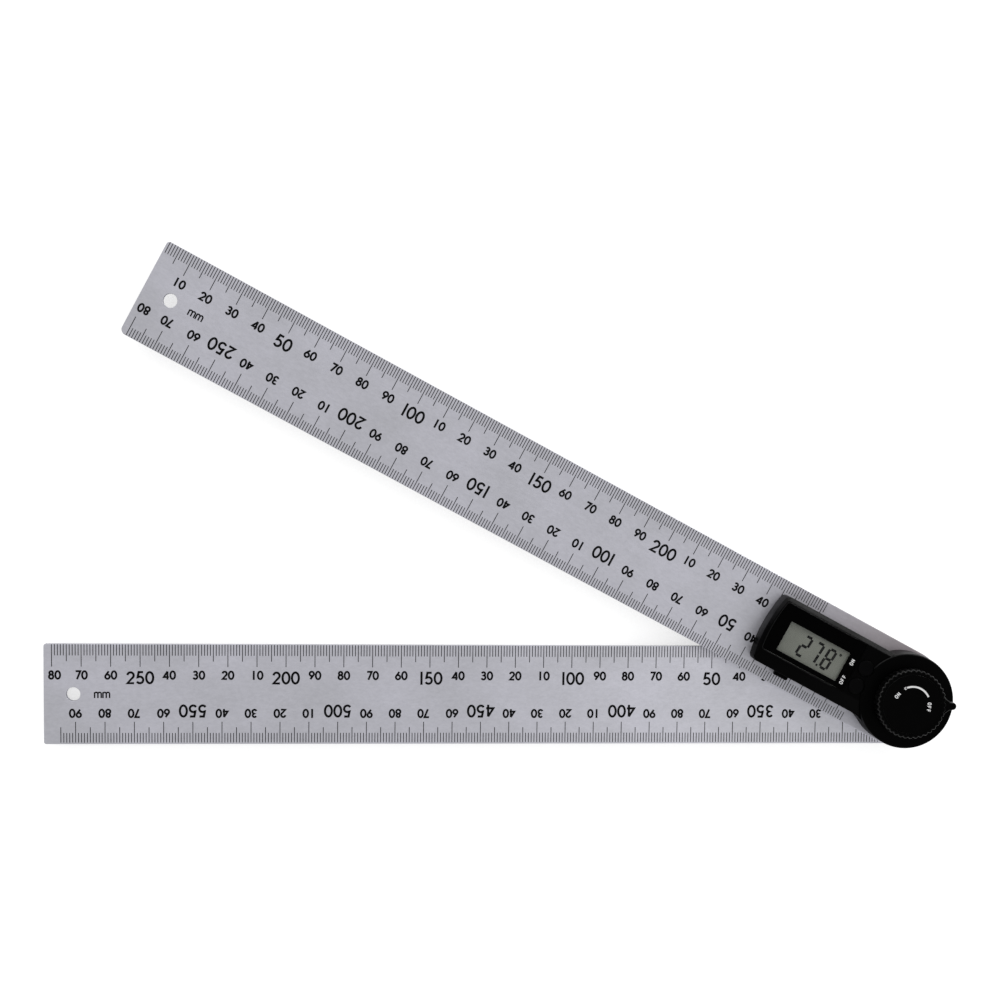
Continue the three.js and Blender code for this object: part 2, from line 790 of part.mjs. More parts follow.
function lockKnob() {
  const skirtTop = knobBottom + knobSkirtHeight;
  const edge = knobRadius - knobTopRadius;
  const trim = turned([
    [0, knobBottom], [knobSkirtRadius, knobBottom], [knobSkirtRadius, skirtTop],
    [knobRadius + cutOverrun, skirtTop], [knobRadius + cutOverrun, knobTop - edge - cutOverrun],
    [knobTopRadius, knobTop], [0, knobTop],
  ], fineSides);
  const pointerTop = knobTop - edge;
  const pointer = slab(pointerShape(), pointerTop - pointerHeight, pointerTop)
    .rotate([0, 0, THREE.MathUtils.radToDeg(pointerAngle)]);
  const hex = new THREE.CylinderGeometry(
    insertRadius + sideGap, insertRadius + sideGap, insertTop + sideGap - insertBottom + cutOverrun, hexSides,
  );
  hex.rotateX(Math.PI / 2);
  hex.translate(0, 0, (insertTop + sideGap + insertBottom - cutOverrun) / 2);
  const washerRoom = disc(waveWasherRadius + 2 * sideGap, knobBottom - cutOverrun, insertBottom);
  const headRoom = disc(keeperHeadRadius + sideGap, insertTop, capBottom + runGap);
  return slab(knurledShape(), knobBottom, knobTop)
    .intersect(trim)
    .add(pointer)
    .subtract(manifoldOf(hex))
    .subtract(washerRoom)
    .subtract(headRoom)
    .subtract(disc(capRadius + sideGap, capBottom, knobTop + cutOverrun, { sides: fineSides }));
}

function knobCap() {
  return disc(capRadius, capBottom + seatGap, knobTop, { sides: fineSides });
}

function knobInsert() {
  const hex = new THREE.CylinderGeometry(insertRadius, insertRadius, insertHeight, hexSides);
  hex.rotateX(Math.PI / 2);
  hex.translate(0, 0, (insertTop + insertBottom) / 2);
  return manifoldOf(hex)
    .subtract(disc(studRadius + runGap, insertBottom - cutOverrun, insertTop + cutOverrun));
}

function thrustWasher() {
  return ring(studRadius + sideGap, thrustWasherRadius, thrustWasherBottom, thrustWasherTop);
}

function waveWasher() {
  return ring(studRadius + sideGap, waveWasherRadius, waveWasherBottom, waveWasherBottom + waveWasherThickness);
}

function keeperScrew() {
  const headBottom = Math.max(studTop, insertTop) + runGap;
  const headTop = headBottom + keeperHeadHeight;
  const arm = keeperHeadRadius * screwRecessLengthShare;
  const half = screwRecessWidth;
  return disc(keeperHeadRadius, headBottom, headTop)
    .add(disc(keeperShankRadius, studTop - keeperShankLength, headBottom + runGap, { sides: smallSides }))
    .subtract(block(-arm, arm, -half, half, headTop - screwRecessDepth, headTop + cutOverrun));
}

// Finishes
const steel = { color: 0xb9b9be, roughness: 0.36, metalness: 1.0 };
const blackPlastic = { color: 0x101012, roughness: 0.42, metalness: 0.0 };
const glossPlastic = { color: 0x08080a, roughness: 0.12, metalness: 0.0 };
const clearPlastic = { color: 0xd8ddd8, roughness: 0.05, metalness: 0.0 };
const displayGrey = { color: 0x8c9187, roughness: 0.3, metalness: 0.0 };
const rubber = { color: 0x1a1a1c, roughness: 0.8, metalness: 0.0 };
const boardGreen = { color: 0x1d5a34, roughness: 0.5, metalness: 0.0 };
const whitePlastic = { color: 0xe6e4da, roughness: 0.5, metalness: 0.0 };
const brass = { color: 0xb5934a, roughness: 0.35, metalness: 1.0 };
const zinc = { color: 0xc2c4c8, roughness: 0.3, metalness: 1.0 };

function piece(name, solid, finish) {
  const mesh = new THREE.Mesh(geometryOf(solid), new THREE.MeshStandardMaterial(finish));
  mesh.name = name;
  return mesh;
}

// Assembly
const displayAssembly = new THREE.Group();
displayAssembly.add(
  piece('display_arm', displayArm(), steel),
  piece('pivot_bush', pivotBush(), brass),
  piece('housing_shell', housingShell(), blackPlastic),
  piece('housing_base_plate', basePlate(), blackPlastic),
  piece('display_bezel', displayBezel(), glossPlastic),
  piece('display_window', displayWindow(), clearPlastic),
  piece('lcd_glass', displayGlass(), displayGrey),
  piece('zebra_strip', zebraStrip(), rubber),
  piece('circuit_board', circuitBoard(), boardGreen),
  piece('controller_chip', controllerChip(), blackPlastic),
  piece('board_header', boardHeader(), blackPlastic),
  piece('encoder_stator', encoderStator(), boardGreen),
  piece('hold_dome_switch', domeSwitch(buttonUpperY), zinc),
  piece('power_dome_switch', domeSwitch(buttonLowerY), zinc),
  piece('cell_top_contact', cellTopContact(), zinc),
  piece('cell_side_contact', cellSideContact(), zinc),
  piece('wave_washer', waveWasher(), zinc),
);
housingScrewPlaces().forEach(([x, y], i) => {
  const screw = piece(`housing_screw_${i + 1}`, countersunkScrew(displayArmBottom, housingScrewLength), zinc);
  screw.position.set(x, y, 0);
  displayAssembly.add(screw);
});

const buttons = new THREE.Group();
buttons.add(
  piece('hold_button', buttonCap(buttonUpperY), rubber),
  piece('power_button', buttonCap(buttonLowerY), rubber),
);

const batteryDrawer = new THREE.Group();
batteryDrawer.add(
  piece('battery_tray', batteryTray(), blackPlastic),
  piece('coin_cell', coinCell(), zinc),
);

const knobAssembly = new THREE.Group();
knobAssembly.add(
  piece('lock_knob', lockKnob(), blackPlastic),
  piece('knob_cap', knobCap(), blackPlastic),
  piece('knob_insert', knobInsert(), brass),
  piece('thrust_washer', thrustWasher(), whitePlastic),
);

const ruleAssembly = new THREE.Group();
ruleAssembly.rotation.z = openAngle;
ruleAssembly.add(
  piece('rule_arm', ruleArm(), steel),
  piece('rear_cover', rearCover(), blackPlastic),
  piece('pivot_shaft', pivotShaft(), zinc),
  piece('encoder_rotor', encoderRotor(), boardGreen),
  piece('slide_washer', slideWasher(), whitePlastic),
  piece('keeper_screw', keeperScrew(), zinc),
);
coverScrewPlaces().forEach(([x, y], i) => {
  const length = ruleArmTop - screwRecessDepth - runGap;
  const screw = piece(`cover_screw_${i + 1}`, countersunkScrew(screwRecessDepth, length), zinc);
  screw.position.set(x, y, 0);
  ruleAssembly.add(screw);
});

const angleFinder = new THREE.Group();
angleFinder.add(displayAssembly, buttons, batteryDrawer, knobAssembly, ruleAssembly);

export default angleFinder;
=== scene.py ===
"""Dressed model of the digital angle finder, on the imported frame.

Sizes and places are in millimetres, and MM turns them into metres where a mesh is made. The pivot's axis is
the origin. The display arm lies along -X, and the rule arm is turned away from it by OPEN_ANGLE.
"""
import json
import math

import bmesh
import bpy
from mathutils import Matrix, Vector


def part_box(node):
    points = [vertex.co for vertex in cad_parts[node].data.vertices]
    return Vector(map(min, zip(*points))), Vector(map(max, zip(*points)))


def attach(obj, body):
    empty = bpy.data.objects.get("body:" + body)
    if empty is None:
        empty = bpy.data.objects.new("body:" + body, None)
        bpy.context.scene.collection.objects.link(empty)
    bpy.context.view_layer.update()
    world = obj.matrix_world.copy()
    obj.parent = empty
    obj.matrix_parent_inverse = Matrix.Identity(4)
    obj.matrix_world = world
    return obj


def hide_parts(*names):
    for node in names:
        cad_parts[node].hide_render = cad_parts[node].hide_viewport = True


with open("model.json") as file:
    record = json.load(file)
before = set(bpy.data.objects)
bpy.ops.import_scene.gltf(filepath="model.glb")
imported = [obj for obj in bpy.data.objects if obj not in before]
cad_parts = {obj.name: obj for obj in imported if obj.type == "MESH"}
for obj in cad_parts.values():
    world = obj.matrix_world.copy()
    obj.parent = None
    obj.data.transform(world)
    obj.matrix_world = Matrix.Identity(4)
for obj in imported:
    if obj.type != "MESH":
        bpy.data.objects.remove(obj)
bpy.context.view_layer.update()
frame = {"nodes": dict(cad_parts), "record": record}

MM = 0.001
FULL_TURN = 2 * math.pi
OPEN_ANGLE = math.radians(27.8)

DISPLAY_BODY = "display_assembly"
RULE_BODY = "rule_assembly"
KNOB_BODY = "knob_assembly"
TRAY_BODY = "battery_drawer"


def span(node):
    """Lowest and highest corner of a CAD node, in millimetres."""
    low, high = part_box(node)
    return low / MM, high / MM


def centre_of(node):
    low, high = span(node)
    return ((low.x + high.x) / 2, (low.y + high.y) / 2)


def radius_of(node):
    """Half the width of a round CAD node."""
    low, high = span(node)
    return (high.x - low.x) / 2


# Levels and places read from the frame
display_low, display_high = span("display_arm")
rule_low, rule_high = span("rule_arm")
shell_low, shell_high = span("housing_shell")
bezel_low, bezel_high = span("display_bezel")
window_low, window_high = span("display_window")
glass_low, glass_high = span("lcd_glass")
knob_low, knob_high = span("lock_knob")
cap_low, cap_high = span("knob_cap")
cover_low, cover_high = span("rear_cover")
tray_low, tray_high = span("battery_tray")
cell_low, cell_high = span("coin_cell")
plate_top = span("housing_base_plate")[1].z
arm_half = display_high.y
arm_length = -display_low.x


# Camera at the photograph's viewing angle
def make_camera():
    place = Vector((-192.3, 3.3, 424.5)) * MM
    target = Vector((-158.95, -6.16, rule_high.z)) * MM
    lens = 43.51
    sensor = 36.0
    roll = math.radians(-0.816)
    square_to_rule = Vector((-math.sin(OPEN_ANGLE), math.cos(OPEN_ANGLE), 0))
    forward = (target - place).normalized()
    right = forward.cross(square_to_rule).normalized()
    up = right.cross(forward)
    turned_up = up * math.cos(roll) + right * math.sin(roll)
    turned_right = forward.cross(turned_up)
    data = bpy.data.cameras.new("photo_camera")
    data.lens = lens
    data.sensor_width = sensor
    data.clip_start = 10 * MM
    camera = bpy.data.objects.new("photo_camera", data)
    bpy.context.scene.collection.objects.link(camera)
    turn = Matrix((turned_right, turned_up, -forward)).transposed().to_4x4()
    camera.matrix_world = Matrix.Translation(place) @ turn
    bpy.context.scene.camera = camera


# Node trees
NOISE_BAND = (0.3, 0.7)


class Tree:
    """A material's node tree, with short calls for the nodes used here."""

    def __init__(self, name):
        self.material = bpy.data.materials.new(name)
        self.material.use_nodes = True
        self.nodes = self.material.node_tree.nodes
        self.links = self.material.node_tree.links
        self.shader = self.nodes["Principled BSDF"]

    def node(self, kind, inputs=None, **settings):
        made = self.nodes.new(kind)
        for key, value in settings.items():
            setattr(made, key, value)
        for key, value in (inputs or {}).items():
            if isinstance(value, bpy.types.NodeSocket):
                self.links.new(value, made.inputs[key])
            else:
                made.inputs[key].default_value = value
        return made

    def place(self, stretch=(1, 1, 1), turn=0.0):
        """Object coordinates in metres, turned about Z and then stretched."""
        source = self.node("ShaderNodeTexCoord").outputs["Object"]
        turned = self.node("ShaderNodeMapping", {"Vector": source, "Rotation": (0, 0, turn)})
        return self.node("ShaderNodeMapping", {"Vector": turned.outputs[0], "Scale": stretch}).outputs[0]

    def noise(self, scale, detail=3.0, roughness=0.55, stretch=(1, 1, 1), turn=0.0):
        made = self.node("ShaderNodeTexNoise", {
            "Vector": self.place(stretch, turn), "Scale": scale, "Detail": detail, "Roughness": roughness,
        })
        return made.outputs["Fac"]

    def remap(self, value, low, high, band=NOISE_BAND):
        """A value's band, by default where most of a noise lies, turned into low to high."""
        made = self.node("ShaderNodeMapRange", {
            "Value": value, "From Min": band[0], "From Max": band[1], "To Min": low, "To Max": high,
        })
        return made.outputs[0]

    def ramp(self, value, low_colour, high_colour, band=NOISE_BAND):
        made = self.node("ShaderNodeMix", data_type="RGBA")
        self.links.new(self.remap(value, 0.0, 1.0, band), made.inputs[0])
        made.inputs[6].default_value = (*low_colour, 1)
        made.inputs[7].default_value = (*high_colour, 1)
        return made.outputs[2]

    def vector_math(self, operation, inputs, output=0):
        return self.node("ShaderNodeVectorMath", inputs, operation=operation).outputs[output]

    def product(self, first, second):
        return self.node("ShaderNodeMath", {0: first, 1: second}, operation="MULTIPLY").outputs[0]

    def facing(self, direction):
        """How much the surface itself faces a direction."""
        normal = self.node("ShaderNodeNewGeometry").outputs["True Normal"]
        return self.vector_math("DOT_PRODUCT", {0: normal, 1: direction}, "Value")

    def bump(self, height, depth, strength, normal=None):
        """A normal for a relief whose depth is in millimetres."""
        inputs = {"Height": height, "Distance": depth * MM, "Strength": strength}
        if normal is not None:
            inputs["Normal"] = normal
        return self.node("ShaderNodeBump", inputs).outputs[0]

    def set(self, **values):
        for key, value in values.items():
            socket = self.shader.inputs[key.replace("_", " ")]
            if isinstance(value, bpy.types.NodeSocket):
                self.links.new(value, socket)
            else:
                socket.default_value = value
        return self.material


# Materials
STEEL_SHINE = 0.45
STEEL_TINT = (0.573, 0.570, 0.633)
STEEL_DULL = (0.504, 0.504, 0.549)
STEEL_LOWER_Y = -12.0
STEEL_UPPER_Y = 8.0
BLACK_SHINE = 0.022

# Painted light on the arms: a tone that grows from start to end along the arm, towards the pivot, and the
# lower side has a share of it. On the display arm it is painted shade with a painted reflection of the
# housing; on the rule arm it is a painted brightening.
DISPLAY_PAINTED_SHADE = {"start": -62.0, "end": -8.0, "lower_share": 0.0, "tone": (0.72, 0.655, 0.63)}
RULE_PAINTED_LIGHT = {"start": -160.0, "end": -20.0, "lower_share": 1.0, "tone": (1.24, 1.24, 1.23)}

# Painted sheen: faces shine more as their share of a direction goes from start to full, so that chosen
# faces catch highlights
BOX_PAINTED_SHEEN = {"direction": (-0.62, 1.7, -0.5), "start": 0.345, "full": 0.62, "shine": 0.18}
KNURL_PAINTED_SHEEN = {"direction": (0, 0, 1), "start": 0.95, "full": 0.55, "shine": 0.42}
BEAD_PAINTED_SHEEN = {"direction": (0, 0, 1), "start": 1.0, "full": 0.75, "shine": 0.30}


def shaded(colour, share):
    return tuple(share * c for c in colour)


def brushed_steel(name, turn=0.0, painted_pivot_tone=None):
    """Satin steel with fine grain along the arm, faint smudges and a lilac tint, and, when given, a painted
    tone towards the pivot that stands in for shade and light.
    """
    tree = Tree(name)
    grain = tree.noise(1.0, detail=2.0, stretch=(18, 2600, 2600), turn=turn)
    fine = tree.noise(1.0, detail=1.0, stretch=(60, 7000, 7000), turn=turn)
    smudge = tree.noise(26.0, detail=4.0, roughness=0.6, stretch=(1, 1.6, 1), turn=turn)
    speckle = tree.noise(620.0, detail=3.0, roughness=0.7, stretch=(1, 1.8, 1), turn=turn)
    cloudy = tree.ramp(smudge, STEEL_DULL, STEEL_TINT, band=(0.35, 0.68))
    colour = tree.vector_math("SCALE", {0: cloudy, "Scale": tree.remap(speckle, 0.93, 1.05)})
    # Painted light: the steel's colour is multiplied by a tone that grows towards the pivot, painted shade
    # on the display arm and painted brightening on the rule arm.
    if painted_pivot_tone:
        along, across, _ = tree.node("ShaderNodeSeparateXYZ", {0: tree.place(turn=turn)}).outputs
        near_pivot = tree.remap(along, 0.0, 1.0, band=(painted_pivot_tone["start"] * MM, painted_pivot_tone["end"] * MM))
        side_band = (STEEL_LOWER_Y * MM, STEEL_UPPER_Y * MM)
        side_share = tree.remap(across, painted_pivot_tone["lower_share"], 1.0, band=side_band)
        painted_share = tree.product(near_pivot, side_share)
        painted_tone = tree.ramp(painted_share, (1, 1, 1), painted_pivot_tone["tone"], band=(0.0, 1.0))
        colour = tree.vector_math("MULTIPLY", {0: colour, 1: painted_tone})
    normal = tree.bump(grain, 0.02, 0.35)
    normal = tree.bump(fine, 0.01, 0.30, normal)
    return tree.set(Base_Color=colour, Metallic=STEEL_SHINE, Roughness=tree.remap(grain, 0.34, 0.46),
                    Normal=normal)


def moulded_black(name, tone, rough=0.36, grain_scale=5200, painted_sheen=BOX_PAINTED_SHEEN):
    """Black moulded plastic with a fine spark grain and a painted sheen: shinier on the faces turned
    towards a chosen direction.
    """
    tree = Tree(name)
    grain = tree.noise(grain_scale, detail=2.0)
    haze = tree.noise(90.0, detail=4.0)
    colour = tree.ramp(haze, (tone, tone, tone), (1.5 * tone, 1.5 * tone, 1.6 * tone), band=(0.35, 0.7))
    roughness = tree.remap(haze, rough - 0.05, rough + 0.08)
    # Painted sheen: the specular level rises on faces turned towards the direction, to put highlights
    # there.
    facing = tree.facing(painted_sheen["direction"])
    shine = tree.remap(facing, BLACK_SHINE, painted_sheen["shine"], band=(painted_sheen["start"], painted_sheen["full"]))
    return tree.set(Base_Color=colour, Roughness=roughness, Specular_IOR_Level=shine,
                    Normal=tree.bump(grain, 0.03, 0.5))


def gloss_black(name):
    """Polished black plate with hardly visible wipe marks."""
    tree = Tree(name)
    wipe = tree.noise(160.0, stretch=(1, 9, 1))
    rough = tree.remap(wipe, 0.07, 0.16, band=(0.35, 0.75))
    tone = tree.ramp(wipe, (0.0003, 0.0003, 0.0003), (0.0006, 0.0006, 0.0007), band=(0.3, 0.8))
    return tree.set(Base_Color=tone, Roughness=rough, Specular_IOR_Level=0.015)


def clear_pane(name):
    tree = Tree(name)
    wipe = tree.noise(200.0, detail=2.0, stretch=(1, 6, 1))
    rough = tree.remap(wipe, 0.03, 0.09, band=(0.3, 0.8))
    return tree.set(Base_Color=(0.05, 0.052, 0.05, 1), Roughness=rough, Alpha=0.08)


def display_grey(name):
    """Grey green of an unlit liquid crystal, a little uneven."""
    tree = Tree(name)
    cloud = tree.noise(70.0, detail=2.0)
    tone = tree.ramp(cloud, (0.170, 0.180, 0.154), (0.204, 0.215, 0.184), band=(0.35, 0.68))
    grid = tree.noise(9000.0, detail=1.0)
    return tree.set(Base_Color=tone, Roughness=0.35, Normal=tree.bump(grid, 0.01, 0.2))


def printed(name, colour, rough=0.5, sheen=0.5):
    """Ink: slightly uneven in tone, as printed or etched marks are."""
    tree = Tree(name)
    mottle = tree.noise(1500.0, detail=2.0)
    tone = tree.ramp(mottle, shaded(colour, 0.8), colour)
    return tree.set(Base_Color=tone, Roughness=rough, Specular_IOR_Level=sheen)


def soft_rubber(name):
    tree = Tree(name)
    grain = tree.noise(3500.0)
    tone = tree.ramp(grain, (0.0007, 0.0007, 0.0008), (0.0014, 0.0014, 0.0015))
    return tree.set(Base_Color=tone, Roughness=0.45, Specular_IOR_Level=0.03,
                    Normal=tree.bump(grain, 0.04, 0.5))


def turned_metal(name, colour, rough=0.28):
    """Turned or plated metal, with fine layers along the pivot's direction."""
    tree = Tree(name)
    rings = tree.noise(900.0, stretch=(1, 1, 12))
    tone = tree.ramp(rings, shaded(colour, 0.82), colour)
    roughness = tree.remap(rings, rough - 0.06, rough + 0.1)
    return tree.set(Base_Color=tone, Metallic=1.0, Roughness=roughness,
                    Normal=tree.bump(rings, 0.02, 0.3))


def board_mask(name):
    """Green solder mask with copper tracks showing through as lighter lines."""
    tree = Tree(name)
    tracks = tree.node("ShaderNodeTexBrick", {
        "Vector": tree.place(), "Scale": 380.0, "Mortar Size": 0.012, "Mortar": (0.05, 0.22, 0.11, 1),
        "Color1": (0.010, 0.085, 0.035, 1), "Color2": (0.012, 0.100, 0.042, 1),
    })
    height = tree.noise(2600.0, detail=2.0)
    return tree.set(Base_Color=tracks.outputs[0], Roughness=0.35, Normal=tree.bump(height, 0.03, 0.3))


def plain_moulding(name, colour, rough):
    tree = Tree(name)
    cloud = tree.noise(400.0)
    tone = tree.ramp(cloud, shaded(colour, 0.85), colour)
    return tree.set(Base_Color=tone, Roughness=rough, Normal=tree.bump(cloud, 0.03, 0.3))


MATERIALS = {
    "display_steel": brushed_steel("display_steel", painted_pivot_tone=DISPLAY_PAINTED_SHADE),
    "rule_steel": brushed_steel("rule_steel", -OPEN_ANGLE, RULE_PAINTED_LIGHT),
    "housing": moulded_black("housing_black", 0.0006),
    "knob": moulded_black("knob_black", 0.0006, rough=0.30, grain_scale=4200, painted_sheen=KNURL_PAINTED_SHEEN),
    "rim": moulded_black("rim_black", 0.0015, rough=0.22, grain_scale=4200, painted_sheen=BEAD_PAINTED_SHEEN),
    "bezel": gloss_black("bezel_gloss"),
    "window": clear_pane("window_clear"),
    "lcd": display_grey("lcd_grey"),
    "lcd_ink": printed("lcd_segments", (0.0025, 0.0025, 0.003), sheen=0.04),
    "etch": printed("etched_black", (0.003, 0.003, 0.0035), rough=0.6, sheen=0.06),
    "white_ink": printed("white_print", (0.80, 0.80, 0.80)),
    "rubber": soft_rubber("button_rubber"),
    "board": board_mask("board_green"),
    "chip": plain_moulding("chip_black", (0.02, 0.02, 0.022), rough=0.5),
    "nylon": plain_moulding("acetal_white", (0.72, 0.71, 0.66), rough=0.45),
    "brass": turned_metal("brass_turned", (0.62, 0.43, 0.17)),
    "zinc": turned_metal("plated_steel", (0.46, 0.46, 0.47), rough=0.36),
    "steel": brushed_steel("small_steel"),
}


# Outlines
def circle(radius, count, x=0.0, y=0.0):
    return [
        (x + radius * math.cos(FULL_TURN * i / count), y + radius * math.sin(FULL_TURN * i / count))
        for i in range(count)
    ]


def arc(x, y, radius, start, end, count):
    """Points on an arc, angles in degrees."""
    points = []
    for i in range(count + 1):
        angle = math.radians(start + (end - start) * i / count)
        points.append((x + radius * math.cos(angle), y + radius * math.sin(angle)))
    return points


def curve_points(start, pull, end, count):
    """A quadratic curve from start to end, drawn towards pull."""
    points = []
    for i in range(count + 1):
        t = i / count
        points.append(tuple(
            (1 - t) ** 2 * a + 2 * t * (1 - t) * b + t ** 2 * c for a, b, c in zip(start, pull, end)
        ))
    return points


def rounded_box(left, right, lower, upper, radius):
    count = 3
    return (
        arc(right - radius, lower + radius, radius, -90, 0, count)
        + arc(right - radius, upper - radius, radius, 0, 90, count)
        + arc(left + radius, upper - radius, radius, 90, 180, count)
        + arc(left + radius, lower + radius, radius, 180, 270, count)
    )


# Meshes
LEVEL_SHARE = 0.9999
WELD_GAP = 0.002
SAME_POINT = 1e-6
MITRE_LEAST = 0.5
LAYER_STEP = 0.002
LAYER_COUNT = 4
FLAT_ANGLE = math.radians(0.5)


def add_piece(name, mesh, material, body, replaced=()):
    """Links a mesh as a piece that rides on a body and takes its finish from a slot."""
    mesh.materials.clear()
    mesh.materials.append(MATERIALS[material])
    piece = bpy.data.objects.new(name, mesh)
    bpy.context.scene.collection.objects.link(piece)
    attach(piece, body)
    if replaced:
        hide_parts(*replaced)
    return piece


def opened(mesh):
    work = bmesh.new()
    work.from_mesh(mesh)
    return work


def stored(work, mesh):
    """Writes edited geometry into a mesh and lets go of it."""
    work.to_mesh(mesh)
    work.free()
    return mesh


def smooth_by_angle(mesh, degrees=32):
    """Smooth faces, with edges sharper than the angle kept crisp and level faces kept truly flat."""
    work = opened(mesh)
    bmesh.ops.recalc_face_normals(work, faces=work.faces)
    limit = math.radians(degrees)
    for face in work.faces:
        face.smooth = abs(face.normal.z) < LEVEL_SHARE
    for edge in work.edges:
        if len(edge.link_faces) == 2:
            edge.smooth = edge.calc_face_angle(0) < limit
    return stored(work, mesh)


def plate(name, outlines, bottom, top, edge, edge_steps=2):
    """A flat plate with softened edges: the first outline is its rim, the others are holes."""
    curve = bpy.data.curves.new(name, "CURVE")
    curve.dimensions = "2D"
    curve.fill_mode = "BOTH"
    curve.extrude = ((top - bottom) / 2 - edge) * MM
    curve.bevel_depth = edge * MM
    curve.bevel_resolution = edge_steps
    curve.offset = -edge * MM
    for outline in outlines:
        spline = curve.splines.new("POLY")
        spline.points.add(len(outline) - 1)
        for point, (x, y) in zip(spline.points, outline):
            point.co = (x * MM, y * MM, 0, 1)
        spline.use_cyclic_u = True
    holder = bpy.data.objects.new(name, curve)
    bpy.context.scene.collection.objects.link(holder)
    bpy.context.view_layer.update()
    evaluated = holder.evaluated_get(bpy.context.evaluated_depsgraph_get())
    mesh = bpy.data.meshes.new_from_object(evaluated)
    bpy.data.objects.remove(holder)
    bpy.data.curves.remove(curve)
    mesh.transform(Matrix.Translation((0, 0, (bottom + top) / 2 * MM)))
    work = opened(mesh)
    bmesh.ops.remove_doubles(work, verts=work.verts, dist=WELD_GAP * MM)
    mesh.name = name
    return smooth_by_angle(stored(work, mesh))


def lathe(name, profile, count, x=0.0, y=0.0):
    """A closed turned solid from (radius, height) points that start and end on the axis, or close."""
    work = bmesh.new()
    rings = []
    for radius, height in profile:
        if radius <= 0:
            rings.append([work.verts.new((x * MM, y * MM, height * MM))])
            continue
        rings.append([
            work.verts.new((px * MM, py * MM, height * MM)) for px, py in circle(radius, count, x, y)
        ])
    pairs = list(zip(rings, rings[1:]))
    if profile[0][0] > 0:
        pairs.append((rings[-1], rings[0]))
    for near, far in pairs:
        for i in range(count):
            j = (i + 1) % count
            corners = [near[i % len(near)], near[j % len(near)], far[j % len(far)], far[i % len(far)]]
            kept = [c for k, c in enumerate(corners) if c not in corners[:k]]
            if len(kept) > 2:
                work.faces.new(kept)
    return smooth_by_angle(stored(work, bpy.data.meshes.new(name)))


def prism(name, outline, bottom, top):
    """A plain upright prism of an outline."""
    work = bmesh.new()
    low = [work.verts.new((x * MM, y * MM, bottom * MM)) for x, y in outline]
    high = [work.verts.new((x * MM, y * MM, top * MM)) for x, y in outline]
    work.faces.new(low[::-1])
    work.faces.new(high)
    for i in range(len(outline)):
        j = (i + 1) % len(outline)
        work.faces.new((low[i], low[j], high[j], high[i]))
    return stored(work, bpy.data.meshes.new(name))


def block(name, left, right, lower, upper, bottom, top):
    return prism(name, [(left, lower), (right, lower), (right, upper), (left, upper)], bottom, top)


def hull(name, outlines):
    """Convex solid round outlines, each given with its height."""
    work = bmesh.new()
    for outline, height in outlines:
        for x, y in outline:
            work.verts.new((x * MM, y * MM, height * MM))
    result = bmesh.ops.convex_hull(work, input=work.verts)
    inside = [item for item in result["geom_interior"] + result["geom_unused"]
              if isinstance(item, bmesh.types.BMVert)]
    bmesh.ops.delete(work, geom=list(set(inside)), context="VERTS")
    bmesh.ops.dissolve_limit(work, angle_limit=FLAT_ANGLE, verts=work.verts, edges=work.edges)
    bmesh.ops.recalc_face_normals(work, faces=work.faces)
    return stored(work, bpy.data.meshes.new(name))


def sliced(mesh, point, normal):
    """Cuts away what lies on the normal's side of a plane and closes the cut."""
    work = opened(mesh)
    geometry = work.verts[:] + work.edges[:] + work.faces[:]
    cut = bmesh.ops.bisect_plane(
        work, geom=geometry, plane_co=Vector(point) * MM, plane_no=Vector(normal), clear_outer=True,
    )
    edges = [e for e in cut["geom_cut"] if isinstance(e, bmesh.types.BMEdge)]
    bmesh.ops.contextual_create(work, geom=edges)
    return stored(work, mesh)


def softened(mesh, width, least_degrees=20):
    """Rounds the edges of a convex block that are sharper than an angle."""
    steps = 3
    work = opened(mesh)
    bmesh.ops.recalc_face_normals(work, faces=work.faces)
    limit = math.radians(least_degrees)
    edges = [e for e in work.edges if len(e.link_faces) == 2 and e.calc_face_angle(0) > limit]
    bmesh.ops.bevel(work, geom=edges, offset=width * MM, segments=steps, affect="EDGES", profile=0.5)
    return stored(work, mesh)


def combined(mesh, others, operation):
    """Joins to, or cuts from, a mesh each of the others by a boolean modifier."""
    holder = bpy.data.objects.new("work", mesh)
    bpy.context.scene.collection.objects.link(holder)
    for other in others:
        tool = bpy.data.objects.new("tool", other)
        bpy.context.scene.collection.objects.link(tool)
        step = holder.modifiers.new("step", "BOOLEAN")
        step.operation = operation
        step.solver = "EXACT"
        step.object = tool
        bpy.context.view_layer.update()
        evaluated = holder.evaluated_get(bpy.context.evaluated_depsgraph_get())
        result = bpy.data.meshes.new_from_object(evaluated)
        holder.modifiers.clear()
        holder.data = result
        bpy.data.objects.remove(tool)
        bpy.data.meshes.remove(other)
    result = holder.data
    bpy.data.objects.remove(holder)
    return result


